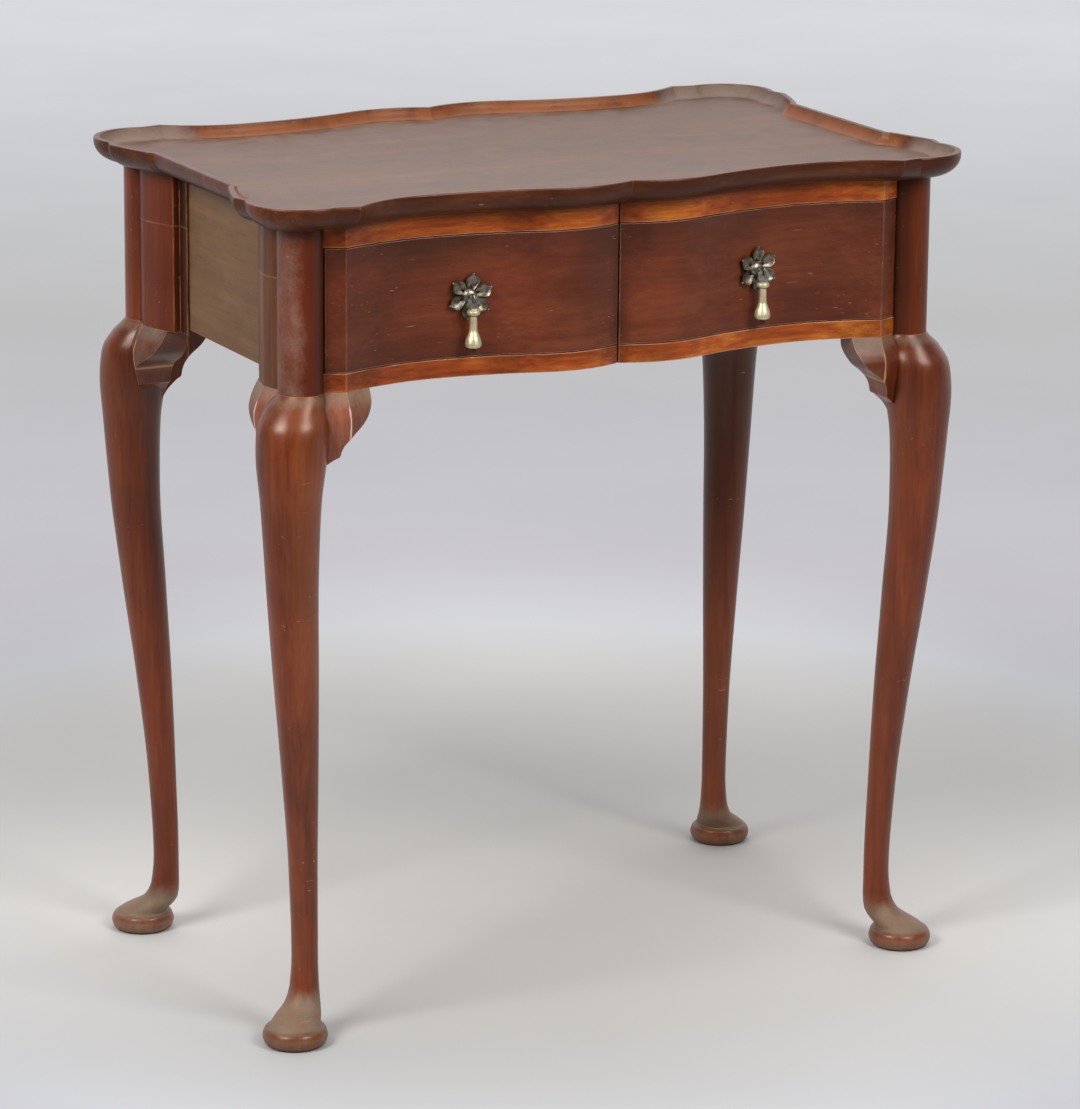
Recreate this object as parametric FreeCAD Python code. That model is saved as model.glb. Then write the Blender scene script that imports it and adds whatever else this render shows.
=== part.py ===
"""Tray top tea table: a dished tray on a serpentine frame with one drawer and four cabriole legs.

Millimetres. X runs along the table's width, Y from front (-Y, the drawer side) to back, Z up.
The origin is on the floor, under the middle of the table. The frame is the same in all four
quarters, so most pieces are drawn in the quarter where X and Y are positive, then mirrored.
"""
import FreeCAD, Part
import math
import os

V = FreeCAD.Vector
flat_within = 0.0001

# ---- heights above the floor ----------------------------------------------------------------
table_height = 710.0
tray_thick = 21.4
top_rail_thick = 17.6
drawer_opening = 102.6
lower_rail_thick = 15.6
tray_bottom = table_height - tray_thick
drawer_ceiling = tray_bottom - top_rail_thick
drawer_floor = drawer_ceiling - drawer_opening
frame_bottom = drawer_floor - lower_rail_thick

# ---- corner columns, turned in one with the legs --------------------------------------------
column_x = 282.5
column_y = 160.6
column_radius = 18.6

# ---- serpentine plan of the front and back: from the columns' middles to the arrises, then to
# ---- the centre groove. Out is beyond the line through the columns, in is towards the centre ----
facet_in = 19.8
facet_out = 10.1
arris_in = 33.1
arris_out = 16.3
shoulder_in = 69.5
shoulder_out = 5.4
hollow_x = 176.0
hollow_out = 0.2
slope_foot_x = 124.3
slope_foot_out = 4.2
slope_head_x = 73.8
slope_head_out = 16.2
swell_x = 44.0
swell_out = 20.7
groove_half_width = 1.2
groove_mouth_out = 10.6
groove_depth = 3.6
facet_x = column_x - facet_in
facet_y = column_y + facet_out
arris_x = column_x - arris_in
arris_y = column_y + arris_out
hollow_shoulder_x = column_x - shoulder_in
hollow_shoulder_y = column_y + shoulder_out
hollow_y = column_y + hollow_out
slope_foot_y = column_y + slope_foot_out
slope_head_y = column_y + slope_head_out
swell_y = column_y + swell_out
groove_mouth_y = column_y + groove_mouth_out

# ---- plan of the sides, from the columns' middles -------------------------------------------
side_facet_out = 11.9
side_facet_in = 13.7
side_arris_out = 17.2
side_arris_in = 33.0
side_sweep_out = 12.7
side_sweep_in = 53.0
side_step_out = 4.8
side_step_in = 71.3
side_board_in = 3.1
side_board_thick = 14.0
side_board_lift = 4.4
strip_proud = 2.0
strip_length = 15.3
pilaster_joint_drop = 44.0
side_facet_x = column_x + side_facet_out
side_facet_y = column_y - side_facet_in
side_arris_x = column_x + side_arris_out
side_arris_y = column_y - side_arris_in
side_sweep_x = column_x + side_sweep_out
side_sweep_y = column_y - side_sweep_in
side_step_x = column_x + side_step_out
side_step_y = column_y - side_step_in
side_board_x = column_x - side_board_in
strip_end_y = side_step_y - strip_length

# ---- tray: how far its edge stands out beyond the frame -------------------------------------
root_share = 0.05
front_overhang = 22.6
side_overhang = 27.0
lobe_overhang = 25.3
arris_overhang = 30.0
arris_spread = 1.1
shoulder_spread = 4.5
side_arris_overhang = 27.4
side_arris_spread = 3.2
side_step_overhang = 25.1
side_step_spread = 4.1
side_step_length = 6.2
lobe_start_deg = -22.4
lobe_middle_deg = 45.0
lobe_end_deg = 107.0
lip_upright = 3.6
lip_width = 4.8
well_depth = 10.6
well_wall_run = 9.0

# ---- legs: heights above the floor or drops below the frame, how far the middle of the section
# ---- is set out or in along the corner's diagonal, and the section's radius --------------------
leg_sides = 16
leg_plane_shift = 2.5
foot_set_out = 9.5
foot_radius = 27.3
foot_rim_round = 1.4
foot_rim_height = 15.5
foot_top_set_out = 8.3
foot_top_radius = 23.7
sole_radius = 22.5
instep_height = 22.5
instep_set_out = 2.6
instep_radius = 19.6
heel_height = 30.5
heel_set_in = 7.6
heel_radius = 15.0
low_ankle_height = 43.5
low_ankle_set_in = 12.0
low_ankle_radius = 12.4
ankle_height = 70.0
ankle_set_in = 13.3
ankle_radius = 11.1
shin_height = 143.4
shin_set_in = 10.5
shin_radius = 12.1
calf_height = 233.0
calf_set_in = 3.9
calf_radius = 15.4
low_thigh_drop = 233.3
low_thigh_set_out = 4.6
low_thigh_radius = 19.0
thigh_drop = 146.8
thigh_set_out = 12.2
thigh_radius = 22.0
high_thigh_drop = 88.6
high_thigh_set_out = 13.9
high_thigh_radius = 25.0
knee_drop = 49.8
knee_set_out = 12.2
knee_radius = 28.9
crown_drop = 30.5
crown_set_out = 9.8
crown_radius = 29.3
shoulder_drop = 15.5
shoulder_set_out = 6.2
shoulder_radius = 25.6
neck_drop = 5.4
neck_set_out = 2.6
neck_radius = 21.9
neck_ledge = 0.4
post_inner_in = 26.5
post_cheek_in = 18.1
post_depth = 45.6
post_inner_x = column_x - post_inner_in
post_cheek_x = column_x - post_cheek_in
post_inner_y = column_y - post_depth

# ---- knee blocks: reaches from the column, drops below the frame ------------------------------
rail_block_reach = 57.0
side_block_reach = 64.5
block_root = 5.0
block_depth = 27.0
block_face_setback = 9.0
block_swell = 9.7
block_fullest_drop = 22.5
block_ear_lean = 0.5
block_ear_drop = 9.0
block_round_set_in = 6.0
block_round_drop = 20.0
block_bulge_reach = 36.5
block_bulge_drop = 34.0
block_waist_reach = 29.6
block_waist_drop = 42.4
block_step_reach = 26.0
block_step_top_drop = 51.3
block_step_drop = 53.3
block_step = 3.4
block_hollow_reach = 11.4
block_hollow_drop = 66.4
block_tail_reach = 2.4
block_tail_drop = 86.3

# ---- frame joints ---------------------------------------------------------------------------
rail_end_in = 15.5
rail_back_in = 36.6
apron_inner_in = 22.6
rail_end_x = column_x - rail_end_in
rail_back_y = column_y - rail_back_in
apron_inner_y = column_y - apron_inner_in
tenon_length = 12.0
tenon_thick = 8.0
tenon_shoulder = 16.0

# ---- drawer ---------------------------------------------------------------------------------
drawer_front_gap = 0.6
running_gap = 0.3
drawer_front_back_in = 20.6
drawer_outer_gap = 2.0
drawer_front_back_y = column_y - drawer_front_back_in
drawer_outer_x = post_inner_x - drawer_outer_gap
drawer_side_thick = 10.0
drawer_side_clearance = 4.6
drawer_side_height = drawer_opening - drawer_side_clearance
drawer_end_gap = 12.0
drawer_end_y = apron_inner_y - drawer_end_gap
drawer_back_drop = 3.0
drawer_lap = 12.0
dovetail_count = 4
dovetail_half_width = 6.0
dovetail_flare = 2.0
bottom_thick = 6.0
bottom_lift = 8.0
groove_into_board = 5.0

# ---- what the drawer runs on ----------------------------------------------------------------
runner_under = 18.0
runner_inner_x = drawer_outer_x - runner_under
runner_thick = 13.0
guide_height = 14.0
stop_x = 150.0
stop_half_width = 20.0
stop_length = 12.0
stop_height = 5.0

# ---- glue blocks under the tray -------------------------------------------------------------
glue_block_size = 16.0
glue_block_length = 46.0
glue_block_x = 110.0

# ---- drop pulls -----------------------------------------------------------------------------
pull_x = 133.4
pull_lift = 51.6
pull_z = drawer_floor + pull_lift
petal_count = 6
rose_radius = 20.6
petal_root = 4.0
petal_half_width = 7.8
petal_rise = 4.6
petal_floor_share = 0.42
petal_rim_share = 0.86
petal_sheet = 1.0
petal_chords = 3
plate_radius = 11.0
rose_stand_off = 0.45
boss_radius = 6.0
boss_foot = 1.6
boss_top_radius = 3.6
boss_height = 5.2
shank_radius = 1.9
shank_sides = 8
shank_clearance = 0.1
nut_radius = 5.5
nut_thick = 4.0
shank_tail = 3.0
eye_stand_off = 11.0
eye_radius = 2.7
eye_wire = 0.85
tab_thick = 2.0
tab_bar = 1.9
tab_half_width = 5.4
tab_length = 10.6
tab_sunk = 0.4
tab_corner = 3.6
tab_slot_half_width = 1.8
tab_slot_length = 3.6
drop_sides = 16
collar_radius = 6.1
collar_top_radius = 4.5
collar_round = 1.8
collar_height = 4.4
stem_radius = 2.5
stem_fillet = 1.2
stem_length = 1.4
stem_foot_radius = 3.5
stem_foot_drop = 23.8
pear_shoulder_radius = 6.2
pear_shoulder_drop = 34.5
pear_radius = 7.1
pear_drop = 38.7
pear_base_radius = 5.5
pear_base_round = 1.8
pear_base_drop = 45.5
finial_radius = 2.4
finial_foot_radius = 1.8
finial_height = 3.6


# ---- small helpers --------------------------------------------------------------------------
def box(x0, x1, y0, y1, z0, z1):
    """A block between two corners given as ranges."""
    return Part.makeBox(x1 - x0, y1 - y0, z1 - z0, V(x0, y0, z0))


def cylinder(radius, start, end):
    """A round bar between two points."""
    along = end - start
    return Part.makeCylinder(radius, along.Length, start, along)


def polyline(points):
    """Straight edges through the points."""
    return [Part.makeLine(a, b) for a, b in zip(points, points[1:])]


def arc(start, middle, end):
    """A circular edge through three points."""
    return Part.Arc(start, middle, end).toShape()


def chords(edge, count):
    """The ends of equal chords along an edge."""
    return edge.discretize(count + 1)


def closed(points):
    """Straight edges round a closed outline."""
    return Part.makePolygon(points + points[:1])


def panel(a, b, c, d):
    """One flat face on four corners, or two triangles where the corners aren't in one plane."""
    if abs((b - a).cross(c - a).dot(d - a)) < flat_within:
        return [Part.Face(closed([a, b, c, d]))]
    return [Part.Face(closed([a, b, c])), Part.Face(closed([a, c, d]))]


def faceted(rings):
    """A solid through rings of points that are alike, with flat faces between each two rings."""
    faces = [Part.Face(closed(rings[0])), Part.Face(closed(rings[-1]))]
    for low, high in zip(rings, rings[1:]):
        for count in range(len(low)):
            before = count - 1
            faces += panel(low[before], low[count], high[count], high[before])
    return Part.makeSolid(Part.makeShell(faces))


def ring(x, y, z, radius, sides):
    """Evenly spaced points on a level circle."""
    turns = [2 * math.pi * count / sides for count in range(sides)]
    return [V(x + radius * math.cos(turn), y + radius * math.sin(turn), z) for turn in turns]


def turned(profile, sides):
    """A turned form with flats, from pairs of radius and height up the Z axis."""
    return faceted([ring(0, 0, height, radius, sides) for radius, height in profile])


def between(start, end, share):
    """A value part of the way from start to end."""
    return start + (end - start) * share


def prism(edges, low, high):
    """A closed plan outline drawn at Z = 0, raised into a solid between two heights."""
    face = Part.Face(Part.Wire(edges))
    face.translate(V(0, 0, low))
    return face.extrude(V(0, 0, high - low))


def flip_x(shape):
    """The same piece at the other end of the table."""
    return shape.mirror(V(0, 0, 0), V(1, 0, 0))


def flip_y(shape):
    """The same piece at the other side of the table, front or back."""
    return shape.mirror(V(0, 0, 0), V(0, 1, 0))


def both_ends(shape):
    """A piece and its twin at the other end of the table."""
    return Part.Compound([shape, flip_x(shape)])


def to_corner(shape, face, side):
    """Moves a piece drawn in the back right quarter to the named corner."""
    if side == "left":
        shape = flip_x(shape)
    if face == "front":
        shape = flip_y(shape)
    return shape


def cut_all(shape, tools):
    """The shape with every tool cut from it."""
    for tool in tools:
        shape = shape.cut(tool)
    return shape


def largest(shape):
    """The biggest solid of a cut shape, without its offcuts."""
    return max(shape.Solids, key=lambda solid: solid.Volume)


def save(name, shape):
    """Writes one node. Coplanar faces left by cuts are merged first."""
    clean = shape.removeSplitter()
    clean.exportStep("parts/" + name + ".step")


# ---- plan outlines --------------------------------------------------------------------------
def serpentine(share=0.0):
    """Three arcs from the arris to the centre: hollow, slope and swell.

    Share 0 is the frame's face, share 1 the tray's lip.
    """
    out = share * front_overhang
    arris = V(arris_x + share * arris_spread, arris_y + share * arris_overhang, 0)
    hollow_shoulder = V(hollow_shoulder_x + share * shoulder_spread, hollow_shoulder_y + out, 0)
    hollow = V(hollow_x, hollow_y + out, 0)
    slope_foot = V(slope_foot_x, slope_foot_y + out, 0)
    slope_head = V(slope_head_x, slope_head_y + out, 0)
    swell = V(swell_x, swell_y + out, 0)
    mouth = V(groove_half_width * (1 - share), groove_mouth_y + out, 0)
    return [
        arc(arris, hollow_shoulder, hollow),
        arc(hollow, slope_foot, slope_head),
        arc(slope_head, swell, mouth),
    ]


def shaped_board(inner_y, end_x, low, high):
    """A board with the serpentine face at the back and a flat side at Y = inner_y."""
    groove = V(0, groove_mouth_y - groove_depth, 0)
    middle = V(0, inner_y, 0)
    arris = V(arris_x, arris_y, 0)
    mouth = V(groove_half_width, groove_mouth_y, 0)
    facet_slope = (arris_y - facet_y) / (facet_x - arris_x)
    end = V(end_x, facet_y - facet_slope * (end_x - facet_x), 0)
    edges = polyline([middle, V(end_x, inner_y, 0), end, arris]) + serpentine()
    edges += polyline([mouth, groove, middle])
    right = prism(edges, low, high)
    return right.fuse(flip_x(right)).removeSplitter()


def column_point(radius, angle_deg):
    """A point on a circle round the back right column."""
    angle = math.radians(angle_deg)
    return V(column_x + radius * math.cos(angle), column_y + radius * math.sin(angle), 0)


def tray_quarter(share):
    """Points of the tray's outline in one quarter, from the side round the corner to the centre."""
    side_x = side_board_x + strip_proud + share * side_overhang
    step_y = side_step_y - share * side_step_spread
    step_start = V(side_x, step_y - share * side_step_length, 0)
    step_end = V(side_step_x + share * side_step_overhang, step_y, 0)
    sweep = V(side_sweep_x + share * side_step_overhang, side_sweep_y, 0)
    side_arris = V(side_arris_x + share * side_arris_overhang, side_arris_y + share * side_arris_spread, 0)
    lobe = column_radius + share * lobe_overhang
    turns = (lobe_start_deg, lobe_middle_deg, lobe_end_deg)
    lobe_edge = arc(*[column_point(lobe, turn) for turn in turns])
    hollow, slope, swell = serpentine(share)
    points = [step_start]
    points += chords(arc(step_end, sweep, side_arris), 3)
    points += chords(lobe_edge, 9)
    points += chords(hollow, 4)
    points += chords(slope, 3)[1:]
    points += chords(swell, 4)[1:]
    return points


def tray_outline(share, height):
    """Points round the tray at one height, between the frame's face and the lip."""
    right = tray_quarter(share)
    back = right + [V(-point.x, point.y, 0) for point in reversed(right[:-1])]
    front = [V(point.x, -point.y, 0) for point in reversed(back)]
    return [point + V(0, 0, height) for point in back + front]


# ---- tray -----------------------------------------------------------------------------------
def tray_top():
    """One dished board: an ovolo edge outside, a narrow flat lip and a coved well inside."""
    bowl_height = tray_thick - lip_upright
    outlines = []
    for angle in (0, 30, 60, 90):
        turn = math.radians(angle)
        share = root_share + (1 - root_share) * math.sin(turn)
        outlines.append(tray_outline(share, tray_bottom + bowl_height * (1 - math.cos(turn))))
    outlines.append(tray_outline(1.0, table_height))
    for angle in (90, 45, 0):
        turn = math.radians(angle)
        share = 1 - (lip_width + well_wall_run * (1 - math.sin(turn))) / front_overhang
        outlines.append(tray_outline(share, table_height - well_depth * math.cos(turn)))
    return faceted(outlines)


# ---- legs -----------------------------------------------------------------------------------
def leg_section(station):
    """A round section of the leg: height, distance out along the diagonal, radius."""
    height, set_out, radius = station
    step = set_out / math.sqrt(2)
    x = column_x + leg_plane_shift + step
    y = column_y - leg_plane_shift + step
    if height >= frame_bottom:
        x, y = column_x, column_y
    return ring(x, y, height, radius, leg_sides)


def cabriole():
    """The shaped leg from the sole of the pad foot to the ledge under the column."""
    stations = [
        (0.0, foot_set_out, sole_radius),
        (0.2 * foot_rim_height, foot_set_out, foot_radius - foot_rim_round),
        (0.5 * foot_rim_height, foot_set_out, foot_radius),
        (0.8 * foot_rim_height, foot_set_out, foot_radius - foot_rim_round),
        (foot_rim_height, foot_top_set_out, foot_top_radius),
        (instep_height, instep_set_out, instep_radius),
        (heel_height, -heel_set_in, heel_radius),
        (low_ankle_height, -low_ankle_set_in, low_ankle_radius),
        (ankle_height, -ankle_set_in, ankle_radius),
        (shin_height, -shin_set_in, shin_radius),
        (calf_height, -calf_set_in, calf_radius),
        (frame_bottom - low_thigh_drop, low_thigh_set_out, low_thigh_radius),
        (frame_bottom - thigh_drop, thigh_set_out, thigh_radius),
        (frame_bottom - high_thigh_drop, high_thigh_set_out, high_thigh_radius),
        (frame_bottom - knee_drop, knee_set_out, knee_radius),
        (frame_bottom - crown_drop, crown_set_out, crown_radius),
        (frame_bottom - shoulder_drop, shoulder_set_out, shoulder_radius),
        (frame_bottom - neck_drop, neck_set_out, neck_radius),
        (frame_bottom, 0.0, column_radius + neck_ledge),
    ]
    return faceted([leg_section(station) for station in stations])


def post():
    """The square post behind the column, with the mortise for the side board."""
    cheek = box(post_cheek_x, side_board_x, post_inner_y, column_y, frame_bottom, tray_bottom)
    heel_y = drawer_front_back_y - drawer_front_gap
    heel = box(post_inner_x, post_cheek_x, post_inner_y, heel_y, frame_bottom, tray_bottom)
    return cheek.fuse(heel).cut(side_board())


def leg_top():
    """The part of a leg inside the frame: a three-quarter column and the square post."""
    base = V(column_x, column_y, frame_bottom)
    column = cylinder(column_radius, base, V(column_x, column_y, tray_bottom))
    return column.fuse(post())


def leg():
    """Cabriole leg, column and post, all from one blank."""
    return cabriole().fuse(leg_top())


# ---- knee blocks ----------------------------------------------------------------------------
def rail_block_plan(swell):
    """Plan of a knee block under a rail: its face follows the facet and the hollow."""
    back = arris_y - block_depth
    return [
        V(column_x, facet_y - block_face_setback + swell, 0),
        V(facet_x, facet_y + swell, 0),
        V(arris_x, arris_y + swell, 0),
        V(hollow_shoulder_x, hollow_shoulder_y + swell, 0),
        V(hollow_shoulder_x, back, 0),
        V(column_x, back, 0),
    ]


def side_block_plan(swell):
    """Plan of a knee block under a pilaster: its face follows the facet and the sweep."""
    back = side_arris_x - block_depth
    tip_y = column_y - side_block_reach - block_root
    return [
        V(side_facet_x - block_face_setback + swell, column_y, 0),
        V(side_facet_x + swell, side_facet_y, 0),
        V(side_arris_x + swell, side_arris_y, 0),
        V(side_step_x + swell, side_step_y, 0),
        V(side_step_x + swell, tip_y, 0),
        V(back, tip_y, 0),
        V(back, column_y, 0),
    ]


def swelling(plan):
    """The block's outer face: drops below the frame, with shares of the swell beside the knee."""
    levels = [
        (block_tail_drop + block_root, -0.7),
        (between(block_step_drop, block_tail_drop, 0.33), 0.2),
        (knee_drop, 0.52),
        (crown_drop, 0.95),
        (block_fullest_drop, 1.0),
        (shoulder_drop, 0.82),
        (neck_drop, 0.33),
        (0.0, 0.0),
    ]
    rings = []
    for drop, share in levels:
        level = V(0, 0, frame_bottom - drop)
        rings.append([point + level for point in plan(share * block_swell)])
    return faceted(rings)


def sawn_outline(reach, place, depth):
    """The bracket's sawn outline as a solid; place(reach, drop) gives a point on its plane."""
    low_root = place(-block_root, block_tail_drop)
    ear = place(reach - block_ear_lean, block_ear_drop)
    bulge = place(block_bulge_reach, block_bulge_drop)
    waist = place(block_waist_reach, block_waist_drop)
    step_top = place(block_step_reach, block_step_top_drop)
    step = place(block_step_reach - block_step, block_step_drop)
    tail = place(block_tail_reach, block_tail_drop)
    edges = polyline([low_root, place(-block_root, 0.0), place(reach, 0.0), ear])
    edges.append(arc(ear, place(reach - block_round_set_in, block_round_drop), bulge))
    edges.append(arc(bulge, waist, step_top))
    edges += polyline([step_top, step])
    edges.append(arc(step, place(block_hollow_reach, block_hollow_drop), tail))
    edges += polyline([tail, low_root])
    return Part.Face(Part.Wire(edges)).extrude(depth)


def rail_knee_block(corner_leg):
    """The bracket beside the knee, under a rail."""
    def place(reach, drop):
        return V(column_x - reach, rail_back_y, frame_bottom - drop)
    depth = arris_y + 2 * block_swell - rail_back_y
    outline = sawn_outline(rail_block_reach, place, V(0, depth, 0))
    return swelling(rail_block_plan).common(outline).cut(corner_leg)


def side_knee_block(corner_leg, rail_block):
    """The bracket beside the knee, under a pilaster."""
    def place(reach, drop):
        return V(post_inner_x, column_y - reach, frame_bottom - drop)
    depth = side_arris_x + 2 * block_swell - post_inner_x
    outline = sawn_outline(side_block_reach, place, V(depth, 0, 0))
    return largest(swelling(side_block_plan).common(outline).cut(corner_leg).cut(rail_block))


# ---- frame ----------------------------------------------------------------------------------
def pilaster(low, high):
    """The shaped facing between a column and the side board, over one length of its height."""
    strip_x = side_board_x + strip_proud
    points = [
        V(side_arris_x, side_arris_y, 0),
        V(side_facet_x, side_facet_y, 0),
        V(side_board_x, column_y, 0),
        V(side_board_x, strip_end_y, 0),
        V(strip_x, strip_end_y, 0),
        V(strip_x, side_step_y, 0),
        V(side_step_x, side_step_y, 0),
    ]
    edges = polyline(points)
    edges.append(arc(points[-1], V(side_sweep_x, side_sweep_y, 0), points[0]))
    base = V(column_x, column_y, low)
    column = cylinder(column_radius, base, V(column_x, column_y, high))
    return prism(edges, low, high).cut(column)


def side_board():
    """The plain board between two legs, with a tenon into each post."""
    inner_x = side_board_x - side_board_thick
    low = frame_bottom + side_board_lift
    board = box(inner_x, side_board_x, -post_inner_y, post_inner_y, low, tray_bottom)
    middle_x = side_board_x - side_board_thick / 2
    end_y = post_inner_y + tenon_length
    tenon = box(middle_x - tenon_thick / 2, middle_x + tenon_thick / 2, -end_y, end_y,
                low + tenon_shoulder, tray_bottom - tenon_shoulder)
    return board.fuse(tenon)


def notched(board):
    """A board along the back, cut to fit round the two legs it meets."""
    corner = leg_top()
    return cut_all(board, [corner, flip_x(corner)])


def front_rail(low, high):
    """A serpentine rail across the front."""
    return flip_y(notched(shaped_board(rail_back_y, rail_end_x, low, high)))


def back_apron():
    """The serpentine back, one board high."""
    return notched(shaped_board(apron_inner_y, rail_end_x, frame_bottom, tray_bottom))


def inner_strip(inner_x, low, high):
    """A strip along the side board, from the front rail to the back apron, round the posts."""
    outer_x = side_board_x - side_board_thick
    strip = box(inner_x, outer_x, -rail_back_y, apron_inner_y, low, high)
    front_post = box(post_inner_x, outer_x, -apron_inner_y, -post_inner_y, low, high)
    return strip.cut(front_post).cut(flip_y(front_post))


def drawer_runner():
    """What a drawer side slides on, level with the lower rail."""
    return inner_strip(runner_inner_x, drawer_floor - runner_thick, drawer_floor)


def drawer_kicker():
    """The strip over a drawer side that keeps an open drawer from tipping."""
    return inner_strip(runner_inner_x, drawer_floor + drawer_side_height + running_gap, tray_bottom)


def drawer_guide():
    """The strip on the runner that keeps the drawer straight."""
    inner_x = drawer_outer_x + running_gap
    outer_x = side_board_x - side_board_thick
    top = drawer_floor + guide_height
    return box(inner_x, outer_x, -post_inner_y, post_inner_y, drawer_floor, top)


def drawer_stop():
    """A small block on the lower rail that the drawer front closes against."""
    start_y = running_gap - drawer_front_back_y
    top = drawer_floor + stop_height
    return box(stop_x - stop_half_width, stop_x + stop_half_width, start_y, start_y + stop_length,
               drawer_floor, top)


def glue_block():
    """A three-cornered block between the back apron and the tray."""
    corner = V(glue_block_x, apron_inner_y, tray_bottom)
    down = V(0, 0, -glue_block_size)
    inwards = V(0, -glue_block_size, 0)
    face = Part.Face(Part.Wire(polyline([corner, corner + down, corner + inwards, corner])))
    return face.extrude(V(glue_block_length, 0, 0))


# ---- drawer ---------------------------------------------------------------------------------
def dovetails(root_y, end_y):
    """The tails on one end of the right drawer side, wider at their ends than at their roots."""
    pitch = drawer_side_height / dovetail_count
    inner_x = drawer_outer_x - drawer_side_thick
    tails = []
    for count in range(dovetail_count):
        middle = drawer_floor + pitch * (count + 0.5)
        wide = dovetail_half_width + dovetail_flare
        corners = [
            V(inner_x, root_y, middle - dovetail_half_width),
            V(inner_x, end_y, middle - wide),
            V(inner_x, end_y, middle + wide),
            V(inner_x, root_y, middle + dovetail_half_width),
        ]
        face = Part.Face(Part.Wire(polyline(corners + corners[:1])))
        tails.append(face.extrude(V(drawer_side_thick, 0, 0)))
    return tails


def drawer_side(bottom):
    """A drawer side, dovetailed into the front and through the back."""
    inner_x = drawer_outer_x - drawer_side_thick
    back_y = drawer_end_y - drawer_side_thick
    plank = box(inner_x, drawer_outer_x, -drawer_front_back_y, back_y,
                drawer_floor, drawer_floor + drawer_side_height)
    front_tails = dovetails(-drawer_front_back_y, -drawer_front_back_y - drawer_lap)
    back_tails = dovetails(back_y, drawer_end_y)
    return plank.fuse(front_tails + back_tails).cut(bottom)


def drawer_bottom():
    """The thin board in the grooves of the sides and front, running out under the back."""
    low = drawer_floor + bottom_lift
    edge_x = drawer_outer_x - drawer_side_thick + groove_into_board
    front_y = drawer_front_back_y + groove_into_board
    return box(-edge_x, edge_x, -front_y, drawer_end_y, low, low + bottom_thick)


def drawer_back(sides):
    """The back board, standing on the bottom, with pins between the sides' tails."""
    low = drawer_floor + bottom_lift + bottom_thick
    high = drawer_floor + drawer_side_height - drawer_back_drop
    board = box(-drawer_outer_x, drawer_outer_x, drawer_end_y - drawer_side_thick, drawer_end_y, low, high)
    return cut_all(board, sides)


def drawer_front(sides, bottom):
    """The serpentine front, with sockets for the tails, a groove and two bolt holes."""
    low = drawer_floor + drawer_front_gap
    high = drawer_ceiling - drawer_front_gap
    board = flip_y(shaped_board(drawer_front_back_y, facet_x, low, high))
    hole = shank_hole(arris_y - drawer_front_back_y)
    hole = placed_pull(hole)
    return cut_all(board, sides + [bottom, hole, flip_x(hole)])


# ---- drop pulls, drawn facing -Y with the drawer's face at Y = 0 -----------------------------
def pull_seat():
    """Where the right pull sits on the slope of the drawer's face, and how far it is turned."""
    slope = serpentine()[1].Curve
    turn = math.asin((slope.Center.x - pull_x) / slope.Radius)
    face_y = slope.Center.y - slope.Radius * math.cos(turn)
    return V(pull_x, -face_y, pull_z), math.degrees(turn)


def placed_pull(shape):
    """A piece of the right pull, turned and moved to its seat on the drawer."""
    seat, turn = pull_seat()
    shape = shape.copy()
    shape.rotate(V(0, 0, 0), V(0, 0, 1), turn)
    shape.translate(seat)
    return shape


def facing_out(shape):
    """Turns a form drawn up the Z axis so that it points out of the drawer."""
    shape.rotate(V(0, 0, 0), V(1, 0, 0), 90)
    return shape


def shank_hole(half_length):
    """What a hole for the bolt's shank removes, as far to the front as to the back."""
    return cylinder(shank_radius + shank_clearance, V(0, -half_length, 0), V(0, half_length, 0))


def petal_oval(share, rise):
    """The pointed oval of a petal, at a share of its full size."""
    middle = between(petal_root, rose_radius, 0.5)
    low = V(0, -rise, between(middle, petal_root, share))
    high = V(0, -rise, between(middle, rose_radius, share))
    side = petal_half_width * share
    right = chords(arc(low, V(side, -rise, middle), high), petal_chords)
    left = [V(-point.x, point.y, point.z) for point in reversed(right[1:-1])]
    return right + left


def petal():
    """One cupped petal pointing up: a dish with a pointed oval rim."""
    return faceted([
        petal_oval(petal_floor_share, 0.0),
        petal_oval(1.0, petal_rise),
        petal_oval(petal_rim_share, petal_rise),
        petal_oval(petal_floor_share, petal_sheet),
    ])


def pull_rose():
    """The flower plate: cupped petals round a domed boss with a hole for the shank."""
    profile = [(plate_radius, 0.0), (plate_radius, petal_sheet)]
    profile += [(boss_radius, boss_foot), (boss_top_radius, boss_height)]
    flower = facing_out(turned(profile, 2 * petal_count))
    for count in range(petal_count):
        leaf = petal()
        leaf.rotate(V(0, 0, 0), V(0, 1, 0), 360.0 / petal_count * count)
        flower = flower.fuse(leaf)
    flower = flower.cut(shank_hole(2 * boss_height))
    flower.translate(V(0, -rose_stand_off, 0))
    return flower


def pull_post():
    """The bolt through the drawer front, ending in the eye that carries the drop."""
    seat, turn = pull_seat()
    inside = (-drawer_front_back_y - seat.y) / math.cos(math.radians(turn))
    tail = inside + nut_thick + shank_tail
    profile = [(shank_radius, -tail), (shank_radius, eye_stand_off - eye_radius)]
    shank = facing_out(turned(profile, shank_sides))
    middle = V(0, -eye_stand_off, 0)
    half_wire = V(eye_wire, 0, 0)
    eye = cylinder(eye_radius + eye_wire, middle - half_wire, middle + half_wire)
    hole = cylinder(eye_radius - eye_wire, middle - 3 * half_wire, middle + 3 * half_wire)
    return shank.fuse(eye).cut(hole)


def pull_nut():
    """The six-sided nut inside the drawer, its near edge against the drawer front."""
    seat, turn = pull_seat()
    slope = math.sin(math.radians(turn)) * nut_radius
    inside = (-drawer_front_back_y - seat.y) / math.cos(math.radians(turn)) + slope
    nut = facing_out(turned([(nut_radius, -inside - nut_thick), (nut_radius, -inside)], 6))
    return nut.cut(cylinder(shank_radius, V(0, 0, 0), V(0, inside + 2 * nut_thick, 0)))


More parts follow.
